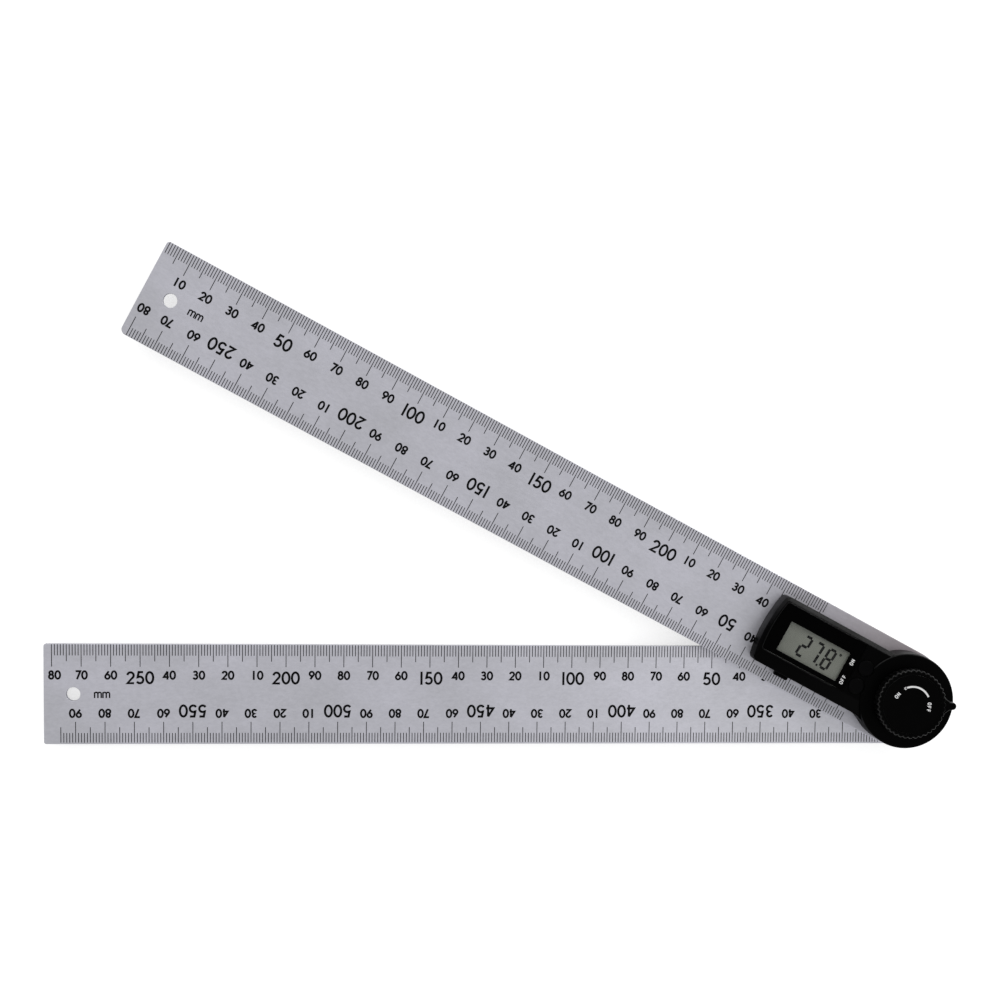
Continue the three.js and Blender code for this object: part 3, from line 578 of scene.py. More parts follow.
def ribbons(name, strokes, width, bottom, top):
    """Closed flat strokes of one width, from lists of (x, y) points.

    Strokes that cross end at slightly different heights, so no two faces lie in one plane.
    """
    work = bmesh.new()
    half = width / 2
    for order, points in enumerate(strokes):
        upper = top - LAYER_STEP * (order % LAYER_COUNT)
        closed = len(points) > 2 and math.dist(points[0], points[-1]) < SAME_POINT
        if closed:
            points = points[:-1]
        count = len(points)
        rails = []
        for i, (x, y) in enumerate(points):
            before = points[i - 1] if closed or i > 0 else None
            after = points[(i + 1) % count] if closed or i < count - 1 else None
            sides = []
            for start, end in ((before, (x, y)), ((x, y), after)):
                if start is None or end is None:
                    continue
                along = Vector((end[0] - start[0], end[1] - start[1])).normalized()
                sides.append(Vector((-along.y, along.x)))
            across = sum(sides, Vector((0, 0))).normalized()
            reach = half / max(across.dot(sides[0]), MITRE_LEAST)
            rails.append([
                work.verts.new(((x + s * reach * across.x) * MM, (y + s * reach * across.y) * MM, z * MM))
                for s, z in ((1, bottom), (-1, bottom), (-1, upper), (1, upper))
            ])
        last = count if closed else count - 1
        for i in range(last):
            near = rails[i]
            far = rails[(i + 1) % count]
            for a in range(4):
                b = (a + 1) % 4
                work.faces.new((near[a], near[b], far[b], far[a]))
        if not closed:
            work.faces.new(rails[0][::-1])
            work.faces.new(rails[-1])
    bmesh.ops.recalc_face_normals(work, faces=work.faces)
    return stored(work, bpy.data.meshes.new(name))


# Marks: etched or printed strokes that stand a hair above a flat face
MARK_HEIGHT = 0.015
MARK_SINK = 0.01


def mark(name, strokes, width, top, ink, body, turn=0.0):
    mesh = ribbons(name, strokes, width, top - MARK_SINK, top + MARK_HEIGHT)
    mesh.transform(Matrix.Rotation(turn, 4, "Z"))
    add_piece(name, mesh, ink, body)


# Lettering: centre lines in a box one unit high, with plain round forms
GLYPH_STEP = 0.74
GLYPH_WIDTH = 0.62
NARROW_ONE = 0.16
WORD_STEP = 0.9
LABEL_HEIGHT = 1.35


def glyphs():
    middle = GLYPH_WIDTH / 2
    foot = 0.06
    head = 0.94
    stem = 0.45
    arch = 0.17
    ring = [(middle + 0.27 * math.cos(a), 0.5 + 0.44 * math.sin(a))
            for a in (FULL_TURN * i / 20 for i in range(21))]
    six = [arc(middle, 0.31, 0.25, 0, 360, 20), [(0.46, head), (0.095, 0.44)]]
    return {
        "0": [ring],
        "1": [[(middle, -0.03), (middle, 1.03)]],
        "2": [arc(middle, 0.68, 0.24, 175, -38, 12) + [(0.07, foot), (0.58, foot)]],
        "3": [arc(0.29, 0.73, 0.20, 160, -90, 12) + arc(0.29, 0.30, 0.235, 90, -160, 14)[1:]],
        "4": [[(stem, head), (0.03, 0.27), (0.61, 0.27)], [(stem, -0.02), (stem, head)]],
        "5": [[(0.54, head), (0.20, head), (0.12, 0.53)] + arc(0.29, 0.32, 0.26, 125, -150, 14)],
        "6": six,
        "7": [[(0.05, head), (0.58, head), (0.20, 0.0)]],
        "8": [arc(middle, 0.735, 0.195, 0, 360, 16), arc(middle, 0.295, 0.24, 0, 360, 18)],
        "9": [[(GLYPH_WIDTH - x, 1 - y) for x, y in stroke] for stroke in six],
        "m": [[(0.0, 0.0), (0.0, 0.62)]] + [
            [(x, 0.4)] + arc(x + arch, 0.44, arch, 160, 0, 6) + [(x + 2 * arch, 0.0)]
            for x in (0.0, 2 * arch)
        ],
        "N": [[(0.05, foot), (0.05, head)], [(0.05, head), (0.57, foot)], [(0.57, foot), (0.57, head)]],
        "O": [ring],
        "F": [[(0.08, foot), (0.08, head), (0.52, head)], [(0.08, 0.52), (0.46, 0.52)]],
    }


GLYPHS = glyphs()


def written(text, x, y, height, turn=0.0, step=GLYPH_STEP):
    """Strokes of a text centred on a point and turned; a 1 in a long numeral takes less room."""
    starts = [0.0]
    for letter in text[:-1]:
        narrow = letter == "1" and len(text) > 2
        starts.append(starts[-1] + (step - NARROW_ONE if narrow else step))
    length = starts[-1] + GLYPH_WIDTH
    cosine = math.cos(turn)
    sine = math.sin(turn)
    strokes = []
    for start, letter in zip(starts, text):
        for stroke in GLYPHS[letter]:
            moved = []
            for px, py in stroke:
                dx = (px + start - length / 2) * height
                dy = (py - 0.5) * height
                moved.append((x + dx * cosine - dy * sine, y + dx * sine + dy * cosine))
            strokes.append(moved)
    return strokes


# Graduations
SHORT_TICK = 3.3
MIDDLE_TICK = 5.3
LONG_TICK = 7.2
TICK_WIDTH = 0.26
TICK_MARGIN = 0.12
SMALL_DIGIT = 3.0
LARGE_DIGIT = 4.4
DIGIT_STROKE = 0.68
LARGE_STROKE = 0.78
LAST_LABEL_X = -296.3
UNIT_X = -280.3
UNIT_HEIGHT = 3.3
UNIT_STEP = 0.86
UNIT_STROKE = 0.50
ONWARD_START = 300.75
RULE_SHIFT = 0.25


def tick_length(value):
    if value % 10 == 0:
        return LONG_TICK
    return MIDDLE_TICK if value % 5 == 0 else SHORT_TICK


def graduation(side, zero, way, ticks, labels, small_y, large_y, longer, inset=0.0):
    """Ticks, small numerals and large numerals along one edge of an arm.

    The side is 1 at the upper edge and -1 at the lower, where numerals stand on their heads. Values run
    one way from the place of zero. Each ten has a numeral: large at each fifty, else its last two digits.
    """
    edge = arm_half - TICK_MARGIN
    turn = 0.0 if side > 0 else math.pi
    lines = []
    for value in ticks:
        x = zero + way * value
        lines.append([(x, side * (edge - inset)), (x, side * (edge - (tick_length(value) + longer)))])
    small = []
    large = []
    for value in labels:
        x = max(zero + way * value, LAST_LABEL_X)
        if value % 50 == 0:
            large += written(str(value), x, side * large_y, LARGE_DIGIT, turn)
        else:
            small += written(str(value)[-2:], x, side * small_y, SMALL_DIGIT, turn)
    return lines, small, large


def dress_scales(arm, upper, lower, unit_y, top, turn, body):
    """Etches the upper and the lower scale of an arm and the mark of its unit."""
    ticks, small, large = (first + second for first, second in zip(upper, lower))
    unit = written("mm", UNIT_X, unit_y, UNIT_HEIGHT, 0.0, UNIT_STEP)
    kinds = (
        ("ticks", ticks, TICK_WIDTH),
        ("numerals", small, DIGIT_STROKE),
        ("large_numerals", large, LARGE_STROKE),
        ("unit_mark", unit, UNIT_STROKE),
    )
    for kind, strokes, width in kinds:
        mark(f"{arm}_{kind}", strokes, width, top, "etch", body, turn)


def dress_display_arm_scales():
    from_tip = graduation(
        side=1, zero=-arm_length, way=1, ticks=range(1, 262), labels=range(10, 241, 10),
        small_y=6.6, large_y=5.7, longer=0.69,
    )
    from_pivot = graduation(
        side=-1, zero=-arm_half, way=-1, ticks=range(-3, 281), labels=range(40, 281, 10),
        small_y=6.8, large_y=5.95, longer=-0.15,
    )
    dress_scales("display_arm", from_tip, from_pivot, unit_y=0.2, top=display_high.z, turn=0.0,
                 body=DISPLAY_BODY)


def dress_rule_arm_scales():
    from_pivot = graduation(
        side=1, zero=RULE_SHIFT - arm_half, way=-1, ticks=range(0, 281), labels=range(20, 281, 10),
        small_y=6.7, large_y=5.8, longer=0.58,
    )
    onwards = graduation(
        side=-1, zero=ONWARD_START, way=-1, ticks=range(300, 596), labels=range(320, 591, 10),
        small_y=6.7, large_y=5.85, longer=0.52, inset=0.45,
    )
    dress_scales("rule_arm", from_pivot, onwards, unit_y=0.3, top=rule_high.z, turn=OPEN_ANGLE,
                 body=RULE_BODY)


# Steel arms
HANG_HOLE_RADIUS = 2.4
HANG_HOLE_INSET = 10
TIP_CORNER = 1.2
INNER_TIP_CORNER = 2.0
RULE_TIP_CORNER = 0.8
BUSH_FLANGE = 1.25
SHAFT_HOLE_RADIUS = 5.2
SCREW_HOLE_RADIUS = 1.82
SCREW_COUNT = 4
COVER_SCREW_RADIUS = 0.95
COVER_SCREW_COUNT = 3
ARM_EDGE = 0.14


def arm_outline(outer, inner):
    return (
        arc(0, 0, arm_half, -90, 90, 72)
        + arc(-arm_length + outer, arm_half - outer, outer, 90, 180, 6)
        + arc(-arm_length + inner, -arm_half + inner, inner, 180, 270, 8)
    )


def dress_arms():
    hang_hole = circle(HANG_HOLE_RADIUS, 48, -arm_length + HANG_HOLE_INSET, 0)
    outlines = [arm_outline(TIP_CORNER, INNER_TIP_CORNER), hang_hole]
    outlines.append(circle(radius_of("pivot_bush") - BUSH_FLANGE, 64))
    for i in range(SCREW_COUNT):
        outlines.append(circle(SCREW_HOLE_RADIUS, 32, *centre_of(f"housing_screw_{i + 1}")))
    mesh = plate("display_arm_steel", outlines, display_low.z, display_high.z, ARM_EDGE)
    add_piece("display_arm_steel", mesh, "display_steel", DISPLAY_BODY, ["display_arm"])

    back = Matrix.Rotation(-OPEN_ANGLE, 3, "Z")
    outlines = [arm_outline(RULE_TIP_CORNER, RULE_TIP_CORNER), hang_hole, circle(SHAFT_HOLE_RADIUS, 64)]
    for i in range(COVER_SCREW_COUNT):
        place = back @ Vector((*centre_of(f"cover_screw_{i + 1}"), 0))
        outlines.append(circle(COVER_SCREW_RADIUS, 24, place.x, place.y))
    mesh = plate("rule_arm_steel", outlines, rule_low.z, rule_high.z, ARM_EDGE)
    mesh.transform(Matrix.Rotation(OPEN_ANGLE, 4, "Z"))
    add_piece("rule_arm_steel", mesh, "rule_steel", RULE_BODY, ["rule_arm"])


# Housing
BOX_END = -56.5
BOX_END_SAG = 1.55
BOX_INNER_END = 2.0
BOX_HALF = 12.7
BOX_CORNER = 2.0
BOX_EDGE = 0.3
BOX_EDGE_DEGREES = 12
WALL = 1.4
UPPER_CHAMFER = (1.8, 1.1)
LOWER_SLOPE = (4.8, 2.2)
END_CHAMFER = (0.9, 1.9)
DRUM_RADIUS = 16.8
DRUM_RISE = 0.5
DRUM_EDGE = 0.6
FLARE_LENGTH = 3.2
FLARE_TURN = 0.21
FLARE_STEPS = 8
FIT_GAP = 0.12
GLASS_GAP = 0.15
RECESS_GAP = 0.1
STUD_HOLE_RADIUS = 3.15
BUTTON_X = -18.6
BUTTON_RADIUS = 2.8
BUTTON_GAP = 0.14
BUTTON_PLACES = {"hold": 3.3, "power": -3.8}
TOOL_REACH = 1.0


def bowed_outline(left, right, lower, upper, radius):
    """A plan whose left end bows outwards and falls back towards the long sides."""
    corner_steps = 8
    bow_steps = 16
    fall = BOX_END_SAG / BOX_HALF ** 2
    high_lean = math.atan(2 * fall * (upper - radius))
    low_lean = math.atan(2 * fall * (lower + radius))
    high_y = upper - radius + radius * math.sin(high_lean)
    low_y = lower + radius + radius * math.sin(low_lean)
    high_x = left + fall * high_y ** 2 + radius * math.cos(high_lean)
    low_x = left + fall * low_y ** 2 + radius * math.cos(low_lean)
    points = [(right, lower), (right, upper)]
    points += arc(high_x, upper - radius, radius, 90, 180 - math.degrees(high_lean), corner_steps)
    for i in range(1, bow_steps):
        y = high_y + (low_y - high_y) * i / bow_steps
        points.append((left + fall * y * y, y))
    points += arc(low_x, lower + radius, radius, 180 - math.degrees(low_lean), 270, corner_steps)
    return points


def box_solid(name, inset, bottom):
    """The box part of the housing with its three bevelled sides, or the room that far inside it."""
    top = shell_high.z - DRUM_RISE - inset
    half = BOX_HALF - inset
    radius = max(BOX_CORNER - inset, BOX_CORNER / 2)
    outline = bowed_outline(BOX_END + inset, BOX_INNER_END, -half, half, radius)
    width, fall = END_CHAMFER
    pulled_in = [(x + width if x < 0 else x, y) for x, y in outline]
    mesh = hull(name, [(outline, bottom), (outline, top - fall), (pulled_in, top)])
    width, fall = UPPER_CHAMFER
    mesh = sliced(mesh, (0, half, top - fall), (0, fall, width))
    width, fall = LOWER_SLOPE
    return sliced(mesh, (0, -half, top - fall), (0, -fall, width))


def flare_outline():
    """Fills the corner between the box's lower side and the drum with a curve that eases into both."""
    meet_x = -math.sqrt(DRUM_RADIUS ** 2 - BOX_HALF ** 2)
    meet_angle = math.atan2(-BOX_HALF, meet_x)
    points = []
    for i in range(FLARE_STEPS + 1):
        share = i / FLARE_STEPS
        angle = meet_angle + FLARE_TURN * share
        straight = (meet_x - FLARE_LENGTH * (1 - share), -BOX_HALF)
        round_part = (DRUM_RADIUS * math.cos(angle), DRUM_RADIUS * math.sin(angle))
        points.append(tuple(a * (1 - share) + b * share for a, b in zip(straight, round_part)))
    return points + [(meet_x, -BOX_HALF + WALL)]


def dress_housing():
    bottom = shell_low.z
    top = shell_high.z
    box_top = top - DRUM_RISE
    box = softened(box_solid("box", 0, bottom), BOX_EDGE, BOX_EDGE_DEGREES)
    drum_side = arc(DRUM_RADIUS - DRUM_EDGE, top - DRUM_EDGE, DRUM_EDGE, 0, 90, 5)
    drum = lathe("drum", [(0, bottom), (DRUM_RADIUS, bottom)] + drum_side + [(0, top)], 160)
    flare = prism("flare", flare_outline(), bottom, box_top - LOWER_SLOPE[1])
    shell = combined(box, [drum, flare], "UNION")

    ceiling = box_top - WALL
    below = bottom - TOOL_REACH
    room_radius = DRUM_RADIUS - WALL
    cuts = [
        box_solid("room", WALL, below),
        lathe("drum_room", [(0, below), (room_radius, below), (room_radius, ceiling), (0, ceiling)], 96),
        prism("recess", bezel_outline(-FIT_GAP), bezel_low.z - RECESS_GAP, box_top + TOOL_REACH),
        block("glass_room", glass_low.x - GLASS_GAP, glass_high.x + GLASS_GAP, glass_low.y - GLASS_GAP,
              glass_high.y + GLASS_GAP, ceiling - TOOL_REACH, bezel_low.z),
        block("tray_window", tray_low.x - FIT_GAP, tray_high.x + FIT_GAP, -BOX_HALF - TOOL_REACH,
              -BOX_HALF + 2 * WALL, plate_top, tray_high.z + FIT_GAP),
        prism("stud_hole", circle(STUD_HOLE_RADIUS, 32), ceiling - TOOL_REACH, top + TOOL_REACH),
    ]
    for y in BUTTON_PLACES.values():
        hole = circle(BUTTON_RADIUS + BUTTON_GAP, 48, BUTTON_X, y)
        cuts.append(prism("button_hole", hole, ceiling - TOOL_REACH, box_top + TOOL_REACH))
    shell = smooth_by_angle(combined(shell, cuts, "DIFFERENCE"), degrees=28)
    shell.name = "housing_cover"
    add_piece("housing_cover", shell, "housing", DISPLAY_BODY, ["housing_shell"])


# Display
BEZEL_CORNER = 0.8
BEZEL_EDGE = 0.12
PANE_GAP = 0.02
PANE_CORNER = 0.2
PANE_EDGE = 0.04
OPENING_CORNER = 0.25
BEAD_GAP = 0.16
BEAD_WIDTH = 0.30
BEAD_HEIGHT = 0.2
BEAD_SINK = 0.2
BEAD_SHORT = 4.0
BEAD_EDGE = 0.135

# Digits shown: their left ends, and the segments that are dark in each
LCD_PLACES = {"2": -43.0, "7": -38.22, "8": -33.25}
LCD_DARK = {"2": "abged", "7": "abc", "8": "abcdefg"}
LCD_LOW = -3.92
LCD_HEIGHT = 7.28
LCD_WIDTH = 2.55
LCD_LEAN = 0.075
LCD_GAP = 0.28
LCD_STROKE = 0.92
POINT_PLACE = (-34.75, -3.87)
POINT_LENGTH = 0.7
POINT_STROKE = 0.8
DEGREE_PLACE = (-28.42, 3.1)
DEGREE_RADIUS = 0.30
DEGREE_STROKE = 0.36
LABEL_STROKE = 0.26
LABELS = {"hold": ("ON", 0.45), "power": ("OFF", 0.25)}


def bezel_outline(inset):
    return bowed_outline(bezel_low.x + inset, bezel_high.x - inset,
                         bezel_low.y + inset, bezel_high.y - inset, BEZEL_CORNER)


def window_outline(gap, corner):
    return rounded_box(window_low.x - gap, window_high.x + gap,
                       window_low.y - gap, window_high.y + gap, corner)


def lcd_strokes():
    """Strokes of the seven-segment digits, leaning with their height."""
    gap = LCD_GAP
    width = LCD_WIDTH
    top = LCD_HEIGHT
    half = top / 2
    ends = {
        "a": ((gap, top), (width - gap, top)),
        "b": ((width, top - gap), (width, half + gap)),
        "c": ((width, half - gap), (width, gap)),
        "d": ((gap, 0), (width - gap, 0)),
        "e": ((0, half - gap), (0, gap)),
        "f": ((0, top - gap), (0, half + gap)),
        "g": ((gap, half), (width - gap, half)),
    }
    return [
        [(left + x + LCD_LEAN * y, LCD_LOW + y) for x, y in ends[segment]]
        for digit, left in LCD_PLACES.items() for segment in LCD_DARK[digit]
    ]


def dress_display():
    outlines = [bezel_outline(0), window_outline(PANE_GAP, OPENING_CORNER)]
    mesh = plate("bezel_plate", outlines, bezel_low.z, bezel_high.z, BEZEL_EDGE)
    add_piece("bezel_plate", mesh, "bezel", DISPLAY_BODY, ["display_bezel"])
    pane = plate("window_pane", [window_outline(0, PANE_CORNER)], window_low.z, window_high.z, PANE_EDGE,
                 edge_steps=1)
    add_piece("window_pane", pane, "window", DISPLAY_BODY, ["display_window"])

    top = glass_high.z
    x, y = POINT_PLACE
    point = [(x, y), (x + POINT_LENGTH, y)]
    degree = arc(*DEGREE_PLACE, DEGREE_RADIUS, 0, 360, 12)
    mark("lcd_digits", lcd_strokes(), LCD_STROKE, top, "lcd_ink", DISPLAY_BODY)
    mark("lcd_point", [point], POINT_STROKE, top, "lcd_ink", DISPLAY_BODY)
    mark("lcd_degree", [degree], DEGREE_STROKE, top, "lcd_ink", DISPLAY_BODY)


def dress_panel_rim():
    """A thin polished bead that frames the panel on its three outer sides."""
    top = shell_high.z - DRUM_RISE
    end = bezel_high.x - BEAD_SHORT

    def run(outline):
        """The outline's upper, left and lower side, up to the bead's ends."""
        lower_right, upper_right = outline[:2]
        sides = [point for point in outline if point[0] < end]
        return [(end, upper_right[1])] + sides + [(end, lower_right[1])]

    ring = run(bezel_outline(-BEAD_GAP - BEAD_WIDTH)) + run(bezel_outline(-BEAD_GAP))[::-1]
    mesh = plate("panel_rim", [ring], top - BEAD_SINK, top + BEAD_HEIGHT, BEAD_EDGE, edge_steps=3)
    add_piece("panel_rim", mesh, "rim", DISPLAY_BODY)


def dress_labels():
    """Two small upright white words beside the window, one for each button."""
    x = (window_high.x + bezel_high.x) / 2
    strokes = []
    for button, (word, drop) in LABELS.items():
        strokes += written(word, x, BUTTON_PLACES[button] - drop, LABEL_HEIGHT, math.pi / 2, WORD_STEP)
    mark("switch_labels", strokes, LABEL_STROKE, bezel_high.z, "white_ink", DISPLAY_BODY)


# Buttons
BUTTON_FLANGE = 0.3
BUTTON_EDGE = 0.4
BUTTON_DISH = 0.16
DISH_OUTER_SHARE = 0.62
DISH_INNER_SHARE = 0.3


def dress_buttons():
    for label, y in BUTTON_PLACES.items():
        low, high = span(f"{label}_button")
        flange_radius = radius_of(f"{label}_button")
        flange_top = low.z + BUTTON_FLANGE
        profile = [(0, low.z), (flange_radius, low.z)]
        profile += [(flange_radius, flange_top), (BUTTON_RADIUS, flange_top)]
        profile += arc(BUTTON_RADIUS - BUTTON_EDGE, high.z - BUTTON_EDGE, BUTTON_EDGE, 0, 90, 5)
        profile += [
            (BUTTON_RADIUS * DISH_OUTER_SHARE, high.z - BUTTON_DISH / 2),
            (BUTTON_RADIUS * DISH_INNER_SHARE, high.z - BUTTON_DISH),
            (0, high.z - BUTTON_DISH),
        ]
        mesh = lathe(f"{label}_key", profile, 72, BUTTON_X, y)
        add_piece(f"{label}_key", mesh, "rubber", f"{label}_key", [f"{label}_button"])


# Battery tray and its cell
TRAY_EDGE = 0.15
TRAY_FLOOR = 0.3
POCKET_GAP = 0.15
TAB_HALF = 2.65
TAB_ROOT = 0.6
TAB_LOW = 0.5
TAB_HIGH = 2.7
TAB_EDGE = 0.45
GROOVE_HALF = 0.18
GROOVE_DEPTH = 0.25
GROOVE_HEIGHT = 3.2
GROOVE_PLACES = (-1.2, 0.0, 1.2)


def dress_tray():
    """Battery tray with its pocket, rounded front and ribbed finger tab."""
    front = -BOX_HALF
    middle = (tray_low.x + tray_high.x) / 2
    low = tray_low.z
    body = block("tray", tray_low.x, tray_high.x, front, tray_high.y, low, tray_high.z)
    tab = block("tab", middle - TAB_HALF, middle + TAB_HALF, tray_low.y, front + TAB_ROOT,
                low + TAB_LOW, low + TAB_HIGH)
    grooves = [
        block("groove", middle + x - GROOVE_HALF, middle + x + GROOVE_HALF, tray_low.y - TOOL_REACH,
              tray_low.y + GROOVE_DEPTH, low, low + GROOVE_HEIGHT)
        for x in GROOVE_PLACES
    ]
    tab = combined(softened(tab, TAB_EDGE), grooves, "DIFFERENCE")
    body = combined(softened(body, TRAY_EDGE), [tab], "UNION")
    hole = circle(radius_of("coin_cell") + POCKET_GAP, 96, *centre_of("coin_cell"))
    pocket = prism("pocket", hole, low + TRAY_FLOOR, tray_high.z + TOOL_REACH)
    body = smooth_by_angle(combined(body, [pocket], "DIFFERENCE"))
    add_piece("battery_drawer_tray", body, "housing", TRAY_BODY, ["battery_tray"])


def dress_cell():
    """Coin cell: a can with a bevelled edge, and the smaller cap below it."""
    low = cell_low.z
    high = cell_high.z
    radius = radius_of("coin_cell")
    cap_side = [(8.6, low), (8.8, low + 0.35), (9.6, low + 0.4)]
    can_side = [(radius, low + 0.7), (radius, high - 0.25), (radius - 0.25, high)]
    profile = [(0, low)] + cap_side + can_side + [(0, high)]
    mesh = lathe("coin_cell_can", profile, 96, *centre_of("coin_cell"))
    add_piece("coin_cell_can", mesh, "zinc", TRAY_BODY, ["coin_cell"])


# Lock knob
KNOB_RADIUS = 12.2
KNOB_TEETH = 40
TOOTH_STEPS = 10
TOOTH_DEPTH = 0.5
KNOB_EDGE = 0.55
SKIRT_RADIUS = 11.2
SKIRT_HEIGHT = 0.9
FACE_GAP = 0.1
FACE_EDGE = 0.08
HEAD_ROOM = {"radius": 4.05, "floor": 2.9}
NUT_ROOM = {"radius": 5.05, "floor": 0.5, "top": 3.2}
WASHER_ROOM = {"radius": 7.1, "top": 0.6}
POINTER_ANGLE = math.radians(24.8)
POINTER_REACH = 15.9
POINTER_HALF = 1.3
POINTER_ROOT = 3.8
POINTER_HEIGHT = 2.6
POINTER_DROP = 0.25
POINTER_EDGE = 0.35
POINTER_WAIST = 0.5


def knurled_outline():
    points = []
    count = KNOB_TEETH * TOOTH_STEPS
    for i in range(count):
        wave = 0.5 + 0.5 * math.cos(FULL_TURN * (i % TOOTH_STEPS) / TOOTH_STEPS)
        radius = KNOB_RADIUS - TOOTH_DEPTH * (1 - wave ** 0.5)
        angle = FULL_TURN * i / count
        points.append((radius * math.cos(angle), radius * math.sin(angle)))
    return points


def pointer_outline():
    neck = POINTER_REACH - POINTER_HALF
    root = math.sqrt(KNOB_RADIUS ** 2 - POINTER_ROOT ** 2) - TOOTH_DEPTH
    pull = (KNOB_RADIUS + POINTER_WAIST, POINTER_HALF)
    side = curve_points((root, POINTER_ROOT), pull, (neck, POINTER_HALF), 8)
    return (
        [(root / 2, -POINTER_ROOT)] + [(x, -y) for x, y in side]
        + arc(neck, 0, POINTER_HALF, -90, 90, 14)[1:-1]
        + side[::-1] + [(root / 2, POINTER_ROOT)]
    )


def dress_knob():
    low = knob_low.z
    high = knob_high.z
    below = low - TOOL_REACH
    cap_radius = radius_of("knob_cap")
    pointer = plate("pointer", [pointer_outline()], high - KNOB_EDGE - POINTER_HEIGHT, high - POINTER_DROP,
                    POINTER_EDGE, edge_steps=3)
    pointer.transform(Matrix.Rotation(POINTER_ANGLE, 4, "Z"))
    body = plate("knurled", [knurled_outline()], low, high, KNOB_EDGE, edge_steps=3)
    body = combined(body, [pointer], "UNION")
    beyond = KNOB_RADIUS + 2 * TOOL_REACH
    skirt_top = low + SKIRT_HEIGHT
    cuts = [
        lathe("skirt_cut", [(SKIRT_RADIUS, below), (beyond, below), (beyond, skirt_top),
                            (SKIRT_RADIUS, skirt_top)], 96),
        prism("cap_seat", circle(cap_radius + FACE_GAP, 128), cap_low.z - FACE_GAP, high + TOOL_REACH),
        prism("head_room", circle(HEAD_ROOM["radius"], 48), low + HEAD_ROOM["floor"], cap_low.z),
        prism("nut_room", circle(NUT_ROOM["radius"], 6), low + NUT_ROOM["floor"], low + NUT_ROOM["top"]),
        prism("washer_room", circle(WASHER_ROOM["radius"], 64), below, low + WASHER_ROOM["top"]),
    ]
    body = smooth_by_angle(combined(body, cuts, "DIFFERENCE"), degrees=30)
    add_piece("lock_knob_body", body, "knob", KNOB_BODY, ["lock_knob"])
    cap = plate("knob_face", [circle(cap_radius, 128)], cap_low.z, cap_high.z, FACE_EDGE)
    add_piece("knob_face", cap, "knob", KNOB_BODY, ["knob_cap"])


# Print on the knob's face
ARC_RADIUS = 6.2
ARC_START = 142
ARC_END = 53
ARC_STROKE = 0.62
DOT_RADIUS = 0.2
DOT_STROKE = 0.55
KNOB_WORD_STROKE = 0.27
ON_PLACE = (-6.2, 0.3)
ON_TURN = math.radians(78)
OFF_PLACE = (5.7, 1.9)
OFF_TURN = math.radians(-70)


def dress_knob_print():
    sweep = arc(0, 0, ARC_RADIUS, ARC_START, ARC_END, 28)
    dot = arc(*sweep[0], DOT_RADIUS, 0, 360, 12)
    words = written("ON", *ON_PLACE, LABEL_HEIGHT, ON_TURN, WORD_STEP)
    words += written("OFF", *OFF_PLACE, LABEL_HEIGHT, OFF_TURN, WORD_STEP)
    top = cap_high.z
    mark("knob_arc", [sweep], ARC_STROKE, top, "white_ink", KNOB_BODY)
    mark("knob_arc_dot", [dot], DOT_STROKE, top, "white_ink", KNOB_BODY)
    mark("knob_words", words, KNOB_WORD_STROKE, top, "white_ink", KNOB_BODY)


# Rear cover
COVER_EDGE = 0.7
COVER_ROOM_RADIUS = 7.65
COVER_FLOOR = 1.1
RING_RADII = (9.0, 14.2)
RING_HALF = 0.25
RING_FLOOR_HALF = 0.1
RING_DEPTH = 0.18
SINK_RADIUS = 1.82
SINK_DEPTH = 0.42
SINK_HOLE_RADIUS = 0.92
SINK_CONE_DEPTH = 1.3


def dress_rear_cover():
    radius = radius_of("rear_cover")
    low = cover_low.z
    high = cover_high.z
    floor = low + RING_DEPTH
    profile = [(0, low)]
    for ring in RING_RADII:
        profile += [(ring - RING_HALF, low), (ring - RING_FLOOR_HALF, floor),
                    (ring + RING_FLOOR_HALF, floor), (ring + RING_HALF, low)]
    profile += arc(radius - COVER_EDGE, low + COVER_EDGE, COVER_EDGE, -90, 0, 5)
    profile += [(radius, high), (COVER_ROOM_RADIUS, high), (COVER_ROOM_RADIUS, low + COVER_FLOOR),
                (0, low + COVER_FLOOR)]
    sink = [(0, low - TOOL_REACH), (SINK_RADIUS, low - TOOL_REACH), (SINK_RADIUS, low + SINK_DEPTH),
            (SINK_HOLE_RADIUS, low + SINK_CONE_DEPTH), (SINK_HOLE_RADIUS, high + TOOL_REACH),
            (0, high + TOOL_REACH)]
    cuts = [lathe("sink", sink, 32, *centre_of(f"cover_screw_{i + 1}")) for i in range(COVER_SCREW_COUNT)]
    body = smooth_by_angle(combined(lathe("rear_cap", profile, 128), cuts, "DIFFERENCE"), degrees=25)
    add_piece("rear_cap", body, "housing", RULE_BODY, ["rear_cover"])


# Finishes of the pieces that keep their CAD shape: a slot's name is also its material's
def finish_cad_nodes():
    slots = {entry["node"]: entry["material_slot"] for entry in frame["record"]["subparts"]}
    for name, node in frame["nodes"].items():
        material = MATERIALS[slots[name]]
        if not node.data.materials:
            node.data.materials.append(material)
        for holder in node.material_slots:
            holder.material = material


# Stage, whose floor glows a little towards the camera so that it fades into the backdrop
FLOOR_HALF = 9000.0
FLOOR_MIDDLE_X = -150.0
FLOOR_DROP = 0.02
FLOOR_COLOUR = (0.86, 0.86, 0.86, 1)
GLOW_SHARE = 0.3
GLOW_STRENGTH = 2.12
WHITE = (1, 1, 1, 1)


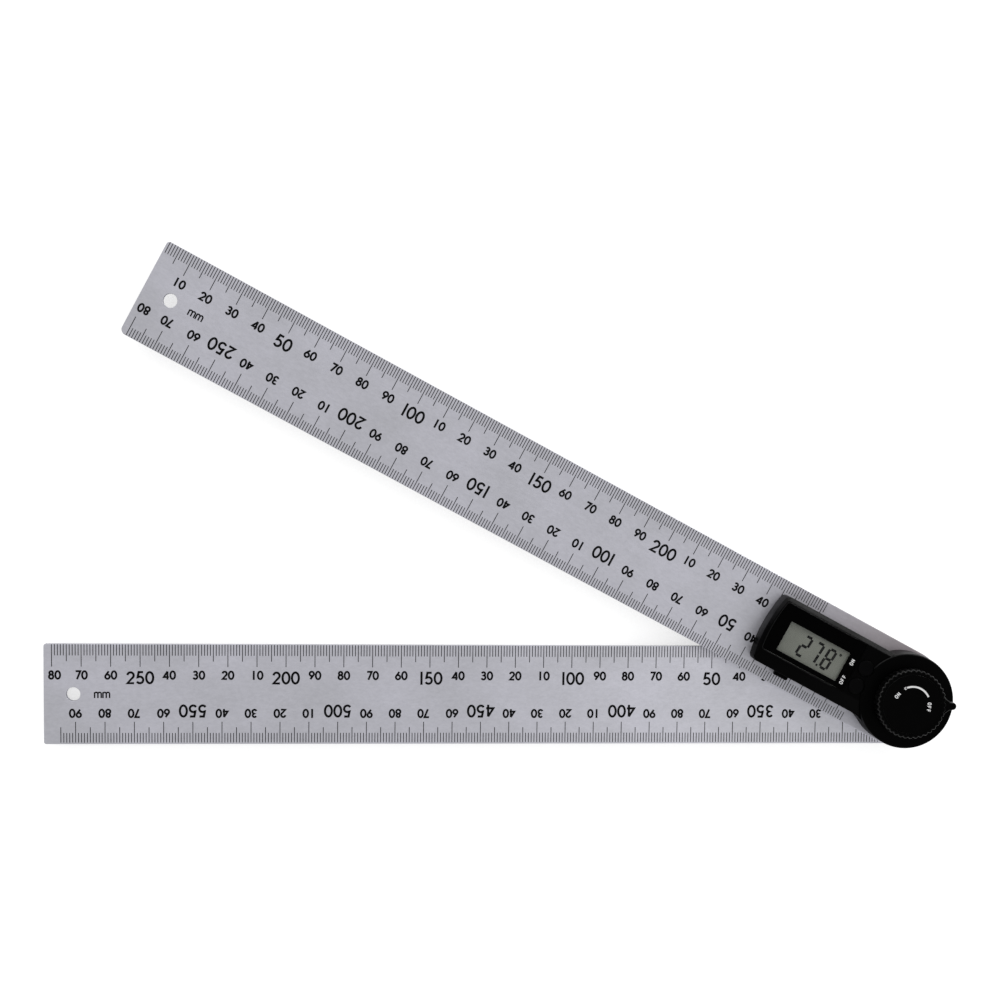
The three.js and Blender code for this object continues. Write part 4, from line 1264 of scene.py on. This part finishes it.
def make_stage():
    corners = [
        ((x * FLOOR_HALF + FLOOR_MIDDLE_X) * MM, y * FLOOR_HALF * MM, -FLOOR_DROP * MM)
        for x, y in ((-1, -1), (1, -1), (1, 1), (-1, 1))
    ]
    mesh = bpy.data.meshes.new("floor")
    mesh.from_pydata(corners, [], [(0, 1, 2, 3)])
    floor = bpy.data.objects.new("floor", mesh)
    bpy.context.scene.collection.objects.link(floor)
    tree = Tree("floor_white")
    tree.nodes.remove(tree.shader)
    diffuse = tree.node("ShaderNodeBsdfDiffuse", {"Color": FLOOR_COLOUR}).outputs[0]
    glow = tree.node("ShaderNodeEmission", {"Color": WHITE, "Strength": GLOW_STRENGTH}).outputs[0]
    seen = tree.node("ShaderNodeLightPath").outputs["Is Camera Ray"]
    blend = tree.node("ShaderNodeMixShader", {0: tree.product(seen, GLOW_SHARE), 1: diffuse, 2: glow})
    tree.links.new(blend.outputs[0], tree.nodes["Material Output"].inputs[0])
    mesh.materials.append(tree.material)


# Light: each lamp's name, its place and width in metres, and its power in watts
LAMPS = (
    ("key", (-1.5, 1.2, 0.9), 0.9, 11.0),
    ("fill", (1.1, -1.0, 0.9), 0.9, 5.0),
    ("rim", (0.45, 1.35, 0.62), 0.5, 9.0),
)
LAMP_TARGET = Vector((-0.15, 0, 0))
ROOM_LIGHT = 0.62
BACKDROP_LIGHT = 1.0


def make_light():
    world = bpy.data.worlds.new("studio")
    bpy.context.scene.world = world
    world.use_nodes = True
    nodes = world.node_tree.nodes
    links = world.node_tree.links
    background = nodes["Background"]
    background.inputs[0].default_value = WHITE
    seen = nodes.new("ShaderNodeLightPath")
    strength = nodes.new("ShaderNodeMapRange")
    strength.inputs["To Min"].default_value = ROOM_LIGHT
    strength.inputs["To Max"].default_value = BACKDROP_LIGHT
    links.new(seen.outputs["Is Camera Ray"], strength.inputs["Value"])
    links.new(strength.outputs[0], background.inputs[1])
    for name, place, width, power in LAMPS:
        data = bpy.data.lights.new(name, "AREA")
        data.size = width
        data.energy = power
        lamp = bpy.data.objects.new(name, data)
        lamp.location = place
        lamp.rotation_euler = (LAMP_TARGET - Vector(place)).to_track_quat("-Z", "Y").to_euler()
        bpy.context.scene.collection.objects.link(lamp)


make_camera()
dress_arms()
dress_display_arm_scales()
dress_rule_arm_scales()
dress_housing()
dress_display()
dress_panel_rim()
dress_labels()
dress_buttons()
dress_tray()
dress_cell()
dress_knob()
dress_knob_print()
dress_rear_cover()
finish_cad_nodes()
make_stage()
make_light()
bpy.context.scene.view_settings.view_transform = "Standard"
